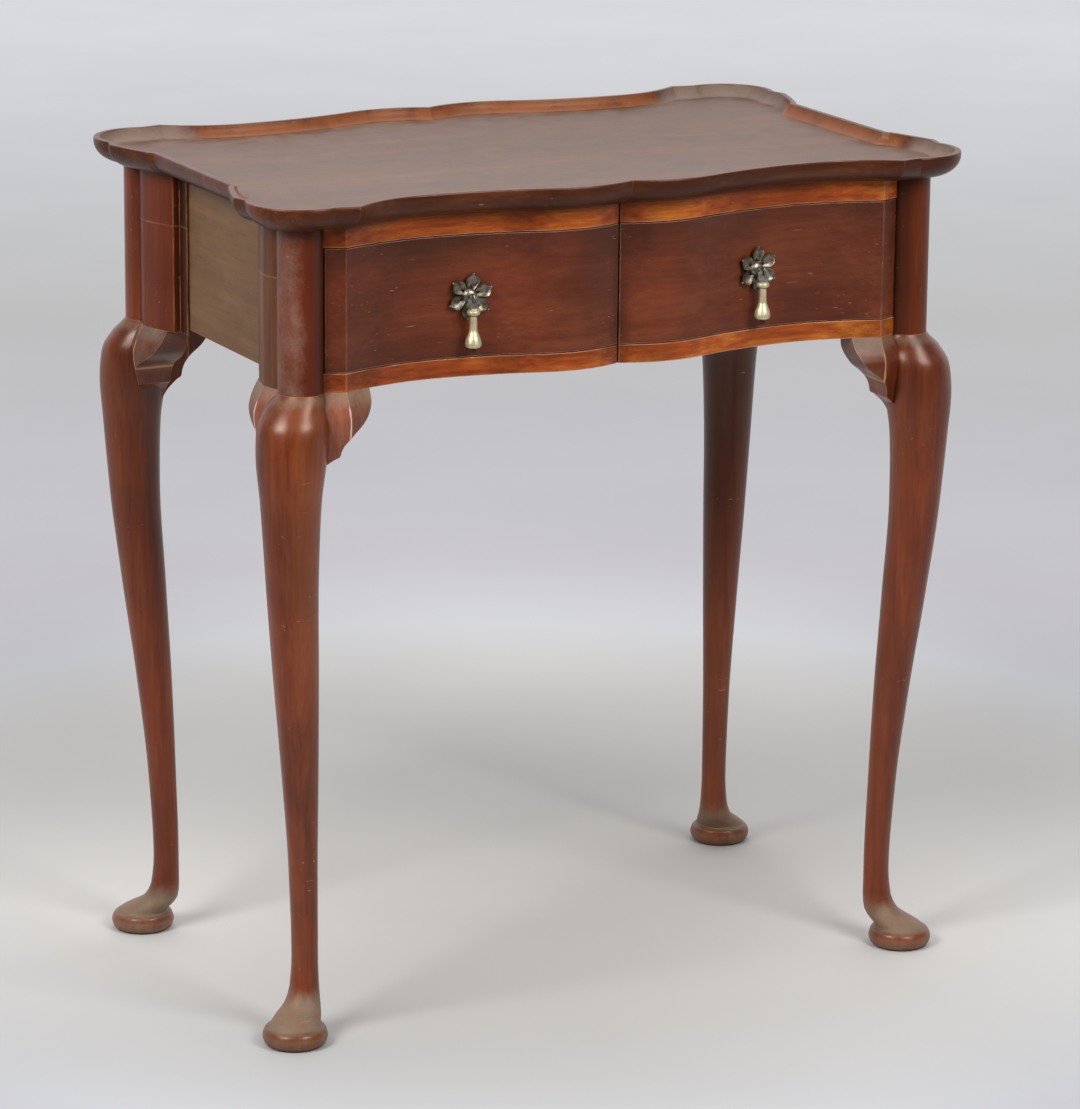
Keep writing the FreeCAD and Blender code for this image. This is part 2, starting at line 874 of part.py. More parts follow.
def pull_drop():
    """The hanging drop: a slotted tab, collar, neck, pear and finial, about the eye's centre."""
    y = -eye_stand_off
    top = 0.5 * tab_bar
    collar_top = top - tab_length
    collar_foot = collar_top - collar_height
    tab = box(-tab_half_width, tab_half_width, y - tab_thick / 2, y + tab_thick / 2,
              collar_top - tab_sunk, top)
    corners = [edge for edge in tab.Edges if abs(edge.tangentAt(edge.FirstParameter).y) > 0.9]
    tab = tab.makeFillet(tab_corner, corners)
    slot_top = -0.5 * tab_bar
    slot = box(-tab_slot_half_width, tab_slot_half_width, y - tab_thick, y + tab_thick,
               slot_top - tab_slot_length, slot_top)
    pear = turned([
        (finial_foot_radius, -pear_base_drop - finial_height),
        (finial_radius, -pear_base_drop),
        (pear_base_radius, -pear_base_drop + pear_base_round),
        (pear_radius, -pear_drop),
        (pear_shoulder_radius, -pear_shoulder_drop),
        (stem_foot_radius, -stem_foot_drop),
        (stem_radius, collar_foot - stem_length),
        (stem_radius + stem_fillet, collar_foot),
        (collar_radius, collar_top - collar_round),
        (collar_top_radius, collar_top),
    ], drop_sides)
    pear.translate(V(0, y, 0))
    return tab.cut(slot).fuse(pear)


# ---- the whole table ------------------------------------------------------------------------
def save_corners():
    """Saves what stands at each corner."""
    corner = leg()
    rail_block = rail_knee_block(corner)
    pieces = {
        "leg": corner,
        "knee_block_rail": rail_block,
        "knee_block_side": side_knee_block(corner, rail_block),
        "pilaster_upper": pilaster(tray_bottom - pilaster_joint_drop, tray_bottom),
        "pilaster_lower": pilaster(frame_bottom, tray_bottom - pilaster_joint_drop),
    }
    for name, piece in pieces.items():
        for face in ("front", "back"):
            for side in ("left", "right"):
                save(name + "_" + face + "_" + side, to_corner(piece, face, side))


def save_frame():
    """Saves the tray, boards and strips that stay still."""
    save("tray_top", tray_top())
    save("front_top_rail", front_rail(drawer_ceiling, tray_bottom))
    save("front_lower_rail", front_rail(frame_bottom, drawer_floor))
    save("back_apron", back_apron())
    strips = {
        "side_board": side_board(),
        "drawer_runner": drawer_runner(),
        "drawer_guide": drawer_guide(),
        "drawer_kicker": drawer_kicker(),
    }
    for name, strip in strips.items():
        save(name + "_right", strip)
        save(name + "_left", flip_x(strip))
    save("drawer_stops", both_ends(drawer_stop()))
    save("glue_blocks", both_ends(glue_block()))


def save_drawer():
    """Saves the drawer and its two pulls."""
    bottom = drawer_bottom()
    right = drawer_side(bottom)
    sides = [right, flip_x(right)]
    save("drawer_bottom", bottom)
    save("drawer_side_right", right)
    save("drawer_side_left", sides[1])
    save("drawer_back", drawer_back(sides))
    save("drawer_front", drawer_front(sides, bottom))
    save("pull_roses", both_ends(placed_pull(pull_rose())))
    save("pull_posts", both_ends(placed_pull(pull_post())))
    save("pull_nuts", both_ends(placed_pull(pull_nut())))
    drop = placed_pull(pull_drop())
    save("pull_drop_right", drop)
    save("pull_drop_left", flip_x(drop))


os.makedirs("parts", exist_ok=True)
save_corners()
save_frame()
save_drawer()
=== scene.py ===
"""Tray top tea table: the finished look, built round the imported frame.

Lengths are millimetres until a mesh is made, then metres. X runs along the width, Y from the front
(-Y, the drawer side) to the back, Z up. Corner pieces are drawn in the quarter where X and Y are
positive and flipped to the other three.
"""
import bisect
import bmesh
import bpy
import math
import random
from mathutils import Matrix, Vector


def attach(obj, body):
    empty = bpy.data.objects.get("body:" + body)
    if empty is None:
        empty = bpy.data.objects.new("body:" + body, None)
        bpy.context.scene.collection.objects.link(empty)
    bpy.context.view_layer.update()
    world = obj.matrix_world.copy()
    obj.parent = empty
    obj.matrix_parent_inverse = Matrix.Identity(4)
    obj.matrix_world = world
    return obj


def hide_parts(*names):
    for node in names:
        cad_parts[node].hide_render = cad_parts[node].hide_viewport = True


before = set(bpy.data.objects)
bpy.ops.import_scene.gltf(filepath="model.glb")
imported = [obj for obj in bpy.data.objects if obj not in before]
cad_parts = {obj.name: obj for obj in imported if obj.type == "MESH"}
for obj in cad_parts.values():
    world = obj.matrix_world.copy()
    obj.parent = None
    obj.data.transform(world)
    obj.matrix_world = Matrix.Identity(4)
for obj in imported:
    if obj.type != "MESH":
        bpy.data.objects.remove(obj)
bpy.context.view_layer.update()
MM = 0.001
random.seed(7)

# ---- heights above the floor ----
table_height = 710.0
tray_bottom = 688.6
drawer_ceiling = 671.0
drawer_floor = 568.4
frame_bottom = 552.8
pilaster_joint = 644.6
drawer_gap = 0.6

# ---- corner columns and the plan of the frame ----
column = (282.5, 160.6)
column_radius = 18.6
facet = (262.7, 170.7)
arris = (249.4, 176.9)
hollow_shoulder = (213.0, 166.0)
hollow = (176.0, 160.8)
slope_foot = (124.3, 164.8)
slope_head = (73.8, 176.8)
swell = (44.0, 181.3)
groove_half_width = 0.8
groove_mouth_y = 171.2
groove_depth = 2.6
side_facet = (294.4, 146.9)
side_arris = (299.7, 127.6)
side_sweep = (295.2, 107.6)
side_step = (287.3, 89.3)
side_board_x = 279.4
side_board_thick = 14.0
side_board_low = 557.2
strip_proud = 2.0
strip_x = side_board_x + strip_proud
strip_end_y = 74.0
post_inner_x = 256.0
post_cheek_x = 264.4
post_inner_y = 115.0
post_heel_y = 139.4
post_outer_x = side_board_x - 0.1
post_top = tray_bottom - 0.1
board_lip = [(post_cheek_x, 163.6), (266.3, 169.0), facet]
drawer_lip = [(facet[0], 164.6), (263.6, 166.8), (265.0, 168.8), (265.2, 169.55)]
pilaster_heel = [(290.5, 151.0), (283.5, 141.8), (side_board_x, 141.8)]
rail_back_y = 124.0
apron_inner_y = 138.0
drawer_front_back_y = 140.0
board_bevel, block_bevel, pull_bevel = 0.5, 0.6, 0.25
bevel_edge_deg = 30.0
curve_steps, sweep_steps = 14, 12

# ---- tray edge: lips are (share of the overhang, drop below the top) pairs ----
side_places = [0.0, 24.0, 48.0, 66.0]
root_share = 0.05
front_overhang = 22.6
side_overhang = 27.0
lobe_overhang = 25.3
arris_overhang = 30.0
arris_spread = 1.1
shoulder_spread = 4.5
side_arris_overhang = 27.4
side_arris_spread = 3.2
side_step_overhang = 25.1
side_step_spread = 4.1
side_step_length = 6.2
lobe_start_deg = -22.4
lobe_end_deg = 107.0
lobe_steps = 32
lip_upright = 3.6
lip_width = 4.8
well_depth = 10.6
well_wall_run = 9.0
ovolo_steps, cove_steps = 10, 8
outer_lip = [(1.0, 1.6), (0.992, 0.7), (0.972, 0.1), (0.94, 0.0)]
inner_lip = [(0.04, 0.0), (0.012, 0.15), (0.0, 0.9)]
tray_corner_radius, tray_corner_share = 0.45, 0.45
sharp_corner_deg = 11.0
dusty_corner_x, dusty_corner_y = (205.0, 250.0), (90.0, 130.0)
# the cove's glint is a painted highlight set as wear, and the well's dust also paints its sheen
cove_glint, corner_dust, well_dust_and_sheen = 0.66, 0.85, 0.58

# ---- leg: (height, how far set out along the corner's diagonal, radius) ----
leg_plane_shift = 2.5
leg_stations = [
    (0.0, 9.5, 22.5), (1.2, 9.5, 24.6), (3.1, 9.5, 25.9), (7.75, 9.5, 27.3), (12.4, 9.5, 26.2),
    (15.2, 8.8, 24.3), (16.0, 9.2, 22.4), (17.2, 9.0, 21.4), (22.5, 2.6, 19.2), (30.5, -7.6, 15.0),
    (43.5, -12.0, 12.4), (70.0, -13.3, 11.1), (143.4, -10.5, 12.1), (233.0, -3.9, 15.4), (319.5, 4.6, 19.0),
    (406.0, 12.2, 22.0), (464.2, 13.9, 25.0), (503.0, 12.2, 28.9), (522.3, 9.8, 29.3),
    (530.5, 8.2, 28.2), (537.3, 6.2, 25.6), (547.4, 2.6, 21.9), (552.3, 0.0, 19.2),
]
column_foot = [(552.4, 19.1), (552.75, 18.85), (552.8, column_radius)]
column_rows = [553.4, 620.0, 688.5]
leg_sides = 56
leg_row_step = 6.0
leg_settle = 12.0
# painted shade high on each leg under the frame, darkest on the back legs
leg_painted_shade = {"front_left": 0.12, "front_right": 0.1, "back_left": 0.35, "back_right": 0.78}
# dust on each column's outer side, which also paints a broad, soft, greyish highlight, strongest on the front
# left
column_dust_and_sheen = {"front_left": 0.42, "front_right": 0.1, "back_left": 0.1, "back_right": 0.1}
film_span = (-4.0, 13.0)
# marks up the leg: strength, then the heights where they rise, are full, hold to and are gone
pad_rub = (0.2, 1, 3, 7, 11)
pad_dust, pad_dust_fall = 0.48, (10, 15)
# painted shade in the crease between the pad and the leg
pad_crease_shade = (0.6, 14.6, 15.8, 16.6, 18.0)
foot_dust = (0.7, 12, 17, 28, 58)
knee_dust = (0.45, 538, 549, 552, 553)
# painted shade high on the leg, under the frame
high_painted_shade = (1.0, 200.0, 420.0, 549.0, 552.0)
# painted shade on the column where it sits in the recess beside the drawer front
recess_shade = 0.75
recess_span_x, recess_span_y, recess_span_z = (0.0, 12.0), (-6.0, 6.0), (552.0, 554.0)

# ---- knee blocks ----
rail_block_reach = 57.0
side_block_reach = 64.5
block_depth = 27.0
block_swell = 9.7
block_root = 5.0
rail_block_face_y = 161.7
side_block_face_x = 285.4
block_drops = [0.0, 5.0, 9.0, 14.5, 20.0, 27.0, 34.0, 38.0, 42.4, 47.0, 53.0, 55.0, 58.0, 62.0, 66.4,
               72.0, 78.0, 86.3]
block_row_step, block_rows = 2.3, 37
face_columns, edge_columns = 20, 12
block_curve_steps, block_curve_points, block_sweep_steps = 12, 8, 10
crest_gap = 0.4
ear_set_in = [0.0, 0.15, 0.5, 2.6, 6.0]
ear_fullness = 1.6
edge_reaches = [36.5, 32.6, 29.6, 27.8, 26.4, 22.8, 19.2, 14.7, 11.4, 7.9, 5.1, 2.4]
swell_drops = [0.0, 5.4, 15.5, 22.5, 30.5, 49.8, 64.2, 91.3]
swell_shares = [0.0, 0.33, 0.82, 1.0, 0.95, 0.52, 0.2, -0.7]
# beyond the ridge the face is painted with shade, as it turns away from the light
ridge_rub, shoulder_dust, beyond_dust, beyond_shade = 0.85, 0.55, 0.3, 0.42
ridge_span, ridge_drops = (0.3, 1.6), (8, 14)
shoulder_span, beyond_span = (2, 22), (0.5, 3.0)

# ---- painted shade and dirt on the front: how dark, and where it starts and is full ----
# painted shade towards the centre groove
groove_painted_shade, groove_span = 0.4, (1.0, 13.0)
# painted shadow on the drawer front under the top rail
ceiling_painted_shadow, ceiling_span = 0.45, (632.0, 669.0)
floor_grime, floor_span = 0.35, (569.0, 577.0)
# painted shade on the pilaster's strip in its recess
strip_painted_shade = 0.8

# ---- pulls: turned profiles are (radius, height) pairs ----
pull_x = 133.4
pull_z = 620.0
pull_turn_deg = 7.31
pull_face_y = 163.505
rose_turn_deg = {"left": 8.0, "right": -1.0}
petal_count = 6
petal_root_z = 4.6
petal_length = 14.4
petal_thick = 0.9
petal_seat, petal_cup, petal_rim, petal_bow = 0.4, 0.34, 0.6, 0.8
petal_rise, petal_rise_power = 3.0, 2.4
petal_rows, petal_columns = 16, 12
petal_shares = [0.0, 0.1, 0.3, 0.55, 0.66, 0.82, 0.93, 1.0]
petal_half_widths = [2.2, 2.7, 4.3, 5.7, 5.7, 4.3, 2.1, 0.5]
petal_tip = (0.0, -4.3, 18.9)
rim_span, bright_rim_span, petal_root_span = (0.72, 0.95), (0.7, 0.95), (0.0, 0.4)
petal_grime, petal_root_grime, plate_grime, tab_grime = 0.3, 0.6, 0.8, 0.3
cast_rub, ball_rub = 0.5, 0.9
ball_radius, ball_steps, ball_sides = 0.85, 8, 12
pole_radius = 0.02
dome_rub, dome_rub_span = 0.6, (3.0, 5.0)
dome_grime, dome_grime_span = 0.5, (1.0, 3.5)
dome_profile = [
    (6.6, 0.45), (6.6, 1.6), (6.2, 2.6), (5.2, 3.9), (3.8, 4.8), (2.2, 5.2), (2.0, 5.2), (2.0, 0.45),
]
rose_plate_profile = [(10.5, 0.45), (10.5, 1.2), (9.9, 1.5)]
eye_stand_off = 11.0
eye_radius = 2.7
eye_wire_radius = 0.85
eye_rows, wire_sides, shank_sides = 28, 12, 20
shank_profile = [(1.85, -30.0), (1.85, eye_stand_off - 3.4), (1.4, eye_stand_off - 2.9)]
drop_profile = [
    (1.7, -45.0), (2.4, -43.9), (2.2, -42.4), (2.0, -41.6), (4.9, -41.0), (6.4, -39.6), (6.8, -37.6),
    (6.3, -34.8), (4.7, -30.5), (3.4, -26.4), (3.1, -22.0), (2.9, -16.2), (2.7, -14.9), (3.5, -14.3),
    (5.0, -13.5), (5.5, -12.4), (5.4, -11.2), (4.9, -10.2), (4.2, -9.65),
]
drop_rows = 110
neck_grime = (0.5, -17.0, -14.5, -13.6, -13.0)
finial_grime, finial_span = 0.9, (-42.0, -41.4)
tab_half_width = 5.4
tab_middle_z = -4.45
tab_squareness = 2.6
tab_half_thick = 1.0
tab_hole_radius = 1.8
tab_hole_z = -2.75
tab_sides = 40

# ---- floor: paint at distances from the table, in metres ----
floor_size = 30.0
floor_reach = 6.0
floor_centre = (0.12, 0.24, 0.0)
# the darker tones nearest the table are a painted shadow under it
floor_tones = [
    (0.0, "a3a19e"), (0.25, "acaaa7"), (0.5, "bfbdba"), (0.62, "c8c7c5"), (0.76, "d0d1d4"),
    (1.03, "cac8cd"), (1.56, "c4c3c8"), (2.43, "c0c0c1"), (3.5, "cacbce"), (5.0, "d8d9dd"),
]
front_tone = "909092"
front_start, front_full = 0.9, 1.7
glow_start, glow_full = 0.55, 1.4
floor_cloud_noise, floor_grit_noise = (3.0, 4.0), (900.0, 2.0)
towards_camera = (-0.46, -0.89, 0.0)
across_view = (0.89, -0.46, 0.0)
# painted light and shade on the floor, evening out the lamps: distance where a change of level starts and
# ends, and the level before and after it
painted_light_towards_front = (-0.5, -0.1, 1.0, 1.15)
painted_shade_in_front = (-0.1, 0.42, 1.0, 0.67)
painted_shade_at_sides = (0.25, 0.55, 1.0, 0.84)

# ---- light: name, place, target and side in metres, power in watts ----
lamps = [
    ("lamp_left", (-1.95, -0.72, 1.95), (0.0, 0.0, 0.45), 1.0, 50.0),
    ("lamp_right", (0.55, -2.05, 2.0), (0.0, 0.0, 0.45), 1.0, 43.0),
    ("lamp_top", (0.2, 0.3, 3.2), (0.0, 0.0, 0.0), 1.8, 30.0),
]
room_ahead = (0.46, 0.88, 0.1)
room_span, room_strengths = (-0.2, 0.9), (0.13, 1.05)
room_colour = (0.97, 0.97, 1.0, 1.0)

# ---- camera: angles in degrees, lengths in metres, picture measures in pixels ----
camera_azimuth, camera_elevation, camera_roll = -27.62, 14.88, 0.66
camera_target = (0.0554, -0.0294, 0.3414)
camera_distance = 4.3449
picture_width, picture_height = 1080.0, 1109.0
focal_length = 5006.0
picture_centre = (595.3, 562.7)
sensor_width = 36.0


# ---- plan helpers ----
def arc_points(start, middle, end, count):
    """Points on the circle through three plan points, from start to end."""
    (ax, ay), (bx, by), (cx, cy) = start, middle, end
    d = 2 * (ax * (by - cy) + bx * (cy - ay) + cx * (ay - by))
    a2, b2, c2 = ax * ax + ay * ay, bx * bx + by * by, cx * cx + cy * cy
    ux = (a2 * (by - cy) + b2 * (cy - ay) + c2 * (ay - by)) / d
    uy = (a2 * (cx - bx) + b2 * (ax - cx) + c2 * (bx - ax)) / d
    radius = math.hypot(ax - ux, ay - uy)
    first = math.atan2(ay - uy, ax - ux)
    last = math.atan2(cy - uy, cx - ux)
    through = math.atan2(by - uy, bx - ux)
    turn = (last - first) % (2 * math.pi)
    if (through - first) % (2 * math.pi) > turn:
        turn -= 2 * math.pi
    return [(ux + radius * math.cos(first + turn * k / count),
             uy + radius * math.sin(first + turn * k / count)) for k in range(count + 1)]


def serpentine(share=0.0, fine=curve_steps):
    """Plan points from the arris to the centre groove, between the frame's face and the lip."""
    out = share * front_overhang
    start = (arris[0] + share * arris_spread, arris[1] + share * arris_overhang)
    shoulder = (hollow_shoulder[0] + share * shoulder_spread, hollow_shoulder[1])
    shoulder, bottom, foot, head, crown = (
        (x, y + out) for x, y in (shoulder, hollow, slope_foot, slope_head, swell))
    mouth = (groove_half_width * (1 - share), groove_mouth_y + out)
    return (arc_points(start, shoulder, bottom, fine) + arc_points(bottom, foot, head, fine)[1:]
            + arc_points(head, crown, mouth, fine)[1:])


def tray_quarter(share):
    """Plan points of the tray in one quarter, from the side round the corner to the centre."""
    side_x = strip_x + share * side_overhang
    step_y = side_step[1] - share * side_step_spread
    step_x = side_step[0] + share * side_step_overhang
    sweep = (side_sweep[0] + share * side_step_overhang, side_sweep[1])
    edge = (side_arris[0] + share * side_arris_overhang, side_arris[1] + share * side_arris_spread)
    lobe = column_radius + share * lobe_overhang
    points = [(side_x, y) for y in side_places + [step_y - share * side_step_length]]
    points += arc_points((step_x, step_y), sweep, edge, sweep_steps)
    for count in range(lobe_steps + 1):
        turn = math.radians(lobe_start_deg + (lobe_end_deg - lobe_start_deg) * count / lobe_steps)
        points.append((column[0] + lobe * math.cos(turn), column[1] + lobe * math.sin(turn)))
    return points + serpentine(share)


def all_round(quarter):
    """The closed outline from one quarter that runs from the X axis to the Y axis."""
    right = quarter[:-1] + [(0.0, quarter[-1][1])]
    back = right + [(-x, y) for x, y in reversed(right[:-1])]
    return back + [(x, -y) for x, y in reversed(back[1:-1])]


def softened(outline, corners):
    """The outline with each named corner drawn as a tight curve."""
    made = []
    for index, point in enumerate(outline):
        if index not in corners:
            made.append(point)
            continue
        here = Vector(point)
        before = Vector(outline[index - 1]) - here
        after = Vector(outline[(index + 1) % len(outline)]) - here
        start = here + before.normalized() * min(tray_corner_radius, before.length * tray_corner_share)
        end = here + after.normalized() * min(tray_corner_radius, after.length * tray_corner_share)
        for share in (0.0, 0.25, 0.5, 0.75, 1.0):
            made.append(tuple(start.lerp(here, share).lerp(here.lerp(end, share), share)))
    return made


def sharp_corners(outline):
    """Which points of the outline are sharp corners."""
    found = set()
    for index, point in enumerate(outline):
        before = Vector(point) - Vector(outline[index - 1])
        after = Vector(outline[(index + 1) % len(outline)]) - Vector(point)
        if before.length > 1e-6 and after.length > 1e-6:
            if before.angle(after) > math.radians(sharp_corner_deg):
                found.add(index)
    return found


def smooth_curve(knots, values, at):
    """A curve through the values that never overshoots them, read at one place."""
    spans = [b - a for a, b in zip(knots, knots[1:])]
    slopes = [(b - a) / h for a, b, h in zip(values, values[1:], spans)]
    tangents = [slopes[0]]
    for k in range(1, len(slopes)):
        if slopes[k - 1] * slopes[k] <= 0:
            tangents.append(0.0)
        else:
            wide, near = 2 * spans[k] + spans[k - 1], spans[k] + 2 * spans[k - 1]
            tangents.append((wide + near) / (wide / slopes[k - 1] + near / slopes[k]))
    tangents.append(slopes[-1])
    k = min(max(bisect.bisect_right(knots, at) - 1, 0), len(spans) - 1)
    h = spans[k]
    t = (at - knots[k]) / h
    return (values[k] * (1 + 2 * t) * (1 - t) ** 2 + h * tangents[k] * t * (1 - t) ** 2
            + values[k + 1] * t * t * (3 - 2 * t) - h * tangents[k + 1] * t * t * (1 - t))


def ease(value, start, end):
    """0 before start, 1 after end, smooth between."""
    t = min(max((value - start) / (end - start), 0.0), 1.0)
    return t * t * (3 - 2 * t)


def band(value, strength, rise, full, hold, end):
    """A strength that rises, holds and falls off again along a value."""
    return strength * ease(value, rise, full) * (1 - ease(value, hold, end))


def circle(count):
    """Cosine and sine at even turns."""
    turns = [2 * math.pi * k / count for k in range(count)]
    return [(math.cos(turn), math.sin(turn)) for turn in turns]


def level_ring(x, y, z, radius, sides):
    """A level circle of points."""
    return [(x + radius * a, y + radius * b, z) for a, b in circle(sides)]


# ---- mesh helpers ----
class Shape:
    """Points and faces of one piece, in millimetres, with wear, dust and shade at each point; the wear mark
    also paints the tray cove's glint, the dust mark a sheen on the tray well and columns, and the shade mark
    paints shade on the wood, with dirt low on the drawer and patina and dirt on the brass.
    """

    def __init__(self):
        self.points = []
        self.faces = []
        self.marks = []

    def add(self, points, faces, mark=None):
        """Adds a part; mark(point) gives its wear, dust and shade."""
        base = len(self.points)
        self.points += [tuple(point) for point in points]
        self.faces += [tuple(base + k for k in face) for face in faces]
        self.marks += [mark(point) if mark else (0.0, 0.0, 0.0) for point in points]
        return self

    def mark_last(self, marks):
        """Gives the points added last their own wear, dust and shade."""
        self.marks[-len(marks):] = marks

    def join(self, other, matrix):
        """Adds another shape with its marks, moved by a matrix."""
        self.add([matrix @ Vector(point) for point in other.points], other.faces)
        self.mark_last(other.marks)

    def rings(self, rings, mark=None, caps=True):
        """A skin over closed rings that all have the same number of points."""
        count = len(rings[0])
        points = [point for ring in rings for point in ring]
        faces = []
        for low in range(len(rings) - 1):
            for k in range(count):
                after = (k + 1) % count
                faces.append((low * count + k, low * count + after,
                              (low + 1) * count + after, (low + 1) * count + k))
        if caps:
            faces.append(tuple(range(count - 1, -1, -1)))
            faces.append(tuple((len(rings) - 1) * count + k for k in range(count)))
        return self.add(points, faces, mark)

    def prism(self, outline, low, high, mark=None, levels=1):
        """A plan outline raised between two heights."""
        heights = [low + (high - low) * k / levels for k in range(levels + 1)]
        return self.rings([[(x, y, z) for x, y in outline] for z in heights], mark)

    def block(self, x0, x1, y0, y1, z0, z1):
        """A plain block."""
        return self.prism([(x0, y0), (x1, y0), (x1, y1), (x0, y1)], z0, z1)


def round_edges(piece, width):
    """Rounds the sharp edges of a piece, by a width in millimetres."""
    modifier = piece.modifiers.new("round_edges", "BEVEL")
    modifier.width = width * MM
    modifier.segments = 2
    modifier.limit_method = "ANGLE"
    modifier.angle_limit = math.radians(bevel_edge_deg)
    modifier.harden_normals = True


def add_attribute(mesh, name, values):
    """Writes one value per point, which the materials read."""
    attribute = mesh.attributes.new(name, "FLOAT", "POINT")
    attribute.data.foreach_set("value", values)


def add_object(name, data):
    """Puts a new object into the scene."""
    made = bpy.data.objects.new(name, data)
    bpy.context.scene.collection.objects.link(made)
    return made


def make(name, shape, material, replaces, body="carcass", flip=(1, 1), matrix=None,
         bevel=0.0, crease_deg=35.0):
    """Makes the Blender object of a piece, in metres, and puts it on its body."""
    points = [(x * flip[0] * MM, y * flip[1] * MM, z * MM) for x, y, z in shape.points]
    mesh = bpy.data.meshes.new(name)
    mesh.from_pydata(points, [], shape.faces)
    if matrix is not None:
        mesh.transform(matrix)
    work = bmesh.new()
    work.from_mesh(mesh)
    bmesh.ops.recalc_face_normals(work, faces=work.faces)
    work.to_mesh(mesh)
    work.free()
    for place, label in enumerate(("wear", "dust", "shade")):
        add_attribute(mesh, label, [marks[place] for marks in shape.marks])
    add_attribute(mesh, "seed", [random.random()] * len(points))
    mesh.polygons.foreach_set("use_smooth", [True] * len(mesh.polygons))
    mesh.set_sharp_from_angle(angle=math.radians(crease_deg))
    mesh.materials.append(material)
    piece = add_object(name, mesh)
    if bevel:
        round_edges(piece, bevel)
    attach(piece, body)
    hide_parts(*replaces)


# ---- node helpers ----
class Nodes:
    """Short ways to add and join shader nodes, whose kinds are named without ShaderNode."""

    def __init__(self, material):
        material.use_nodes = True
        self.tree = material.node_tree
        self.tree.nodes.clear()

    def feed(self, socket, value):
        if isinstance(value, bpy.types.NodeSocket):
            self.tree.links.new(value, socket)
        else:
            socket.default_value = value

    def add(self, kind, inputs=None, **settings):
        node = self.tree.nodes.new("ShaderNode" + kind)
        for key, value in settings.items():
            setattr(node, key, value)
        for key, value in (inputs or {}).items():
            self.feed(node.inputs[key], value)
        return node

    def value(self, operation, a, b=0.0, clamp=False):
        node = self.add("Math", {0: a, 1: b}, operation=operation, use_clamp=clamp)
        return node.outputs[0]

    def times(self, a, b):
        return self.value("MULTIPLY", a, b)

    def vector(self, operation, a, b, output=0):
        node = self.add("VectorMath", {0: a, 1: b}, operation=operation)
        return node.outputs[output]

    def dot(self, a, b):
        return self.vector("DOT_PRODUCT", a, b, "Value")

    def noise(self, vector, scale, detail=3.0, rough=0.5, distortion=0.0):
        node = self.add("TexNoise", {
            "Vector": vector, "Scale": scale, "Detail": detail, "Roughness": rough, "Distortion": distortion})
        return node.outputs["Fac"]

    def step(self, value, low, high, out_low=0.0, out_high=1.0):
        node = self.add("MapRange", {
            "Value": value, "From Min": low, "From Max": high, "To Min": out_low, "To Max": out_high,
        }, interpolation_type="SMOOTHSTEP")
        return node.outputs["Result"]

    def mix(self, share, a, b):
        node = self.add("Mix", data_type="RGBA")
        for key, value in (("Factor", share), ("A", a), ("B", b)):
            self.feed([s for s in node.inputs if s.name == key and s.enabled][0], value)
        return [s for s in node.outputs if s.enabled][0]

    def ramp(self, value, stops):
        node = self.add("ValToRGB", {"Fac": value})
        while len(node.color_ramp.elements) < len(stops):
            node.color_ramp.elements.new(0.5)
        for element, (place, colour) in zip(node.color_ramp.elements, stops):
            element.position = place
            element.color = colour
        return node.outputs["Color"]

    def scaled(self, colour, amount):
        node = self.add("VectorMath", {0: colour, "Scale": amount}, operation="SCALE")
        return node.outputs[0]

    def mark(self, name):
        return self.add("Attribute", attribute_name=name).outputs["Fac"]

    def shaded(self, height, depth, strength, inputs):
        bump = self.add("Bump", {"Height": height, "Distance": depth, "Strength": strength})
        inputs["Normal"] = bump.outputs["Normal"]
        return self.add("BsdfPrincipled", inputs).outputs[0]

    def output(self, shader):
        self.add("OutputMaterial", {"Surface": shader})


def new_material(name):
    """A material, its nodes, and the place on the object as a node's output."""
    material = bpy.data.materials.new(name)
    nodes = Nodes(material)
    return material, nodes, nodes.add("TexCoord").outputs["Object"]


def tone(text):
    """Linear colour from a six-digit hex tone."""
    channels = [int(text[k:k + 2], 16) / 255 for k in (0, 2, 4)]
    return tuple(c / 12.92 if c <= 0.04045 else ((c + 0.055) / 1.055) ** 2.4
                 for c in channels) + (1.0,)


# ---- materials: reaches and depths in metres ----
grain_stretch, pore_stretch, scratch_stretch = 0.055, 0.03, 0.025
pore_tone, fleck_tone, scratch_tone = "1e0c07", "a0683f", "b98e6c"
# tones for painted shade where a piece is marked shade, and for painted shade with dirt in crevices
shade_tone, crevice_dirt_and_shade_tone = "160a06", "140a06"
edge_reach, crevice_reach = 0.0009, 0.004
grain_depth, casting_depth, grit_depth = 0.0006, 0.0002, 0.0003
board_offset = (3.1, 5.7, 4.3)
varnish_tint = (1.0, 0.8, 0.68, 1.0)
# noises: scale per metre, detail, roughness and, for the bands, distortion
band_noise, grain_noise = (38.0, 3.0, 0.55, 0.5), (330.0, 4.0, 0.6)
pore_noise, fleck_noise = (1500.0, 2.0, 0.5), (420.0, 2.0, 0.5)
mottle_noise, patch_noise, crumb_noise = (11.0, 3.0, 0.55), (46.0, 4.0, 0.6), (420.0, 4.0, 0.65)
scratch_noise, scratch_cloud_noise = (520.0, 1.0, 0.4), (24.0, 2.0)
tarnish_noise, casting_noise = (320.0, 4.0, 0.6), (1900.0, 3.0, 0.6)


def tuned(nodes, amount, noise, depth):
    """A mark with its border broken up by a noise."""
    offset = nodes.times(nodes.value("SUBTRACT", noise, 0.5), depth)
    return nodes.value("ADD", amount, offset)


def masked(nodes, name, noise, depth, low, high):
    """How strongly a mark shows: nothing where the mesh has none, a broken border elsewhere."""
    amount = nodes.mark(name)
    shown = nodes.step(tuned(nodes, amount, noise, depth), low, high)
    return nodes.times(shown, nodes.step(amount, 0.02, 0.2))


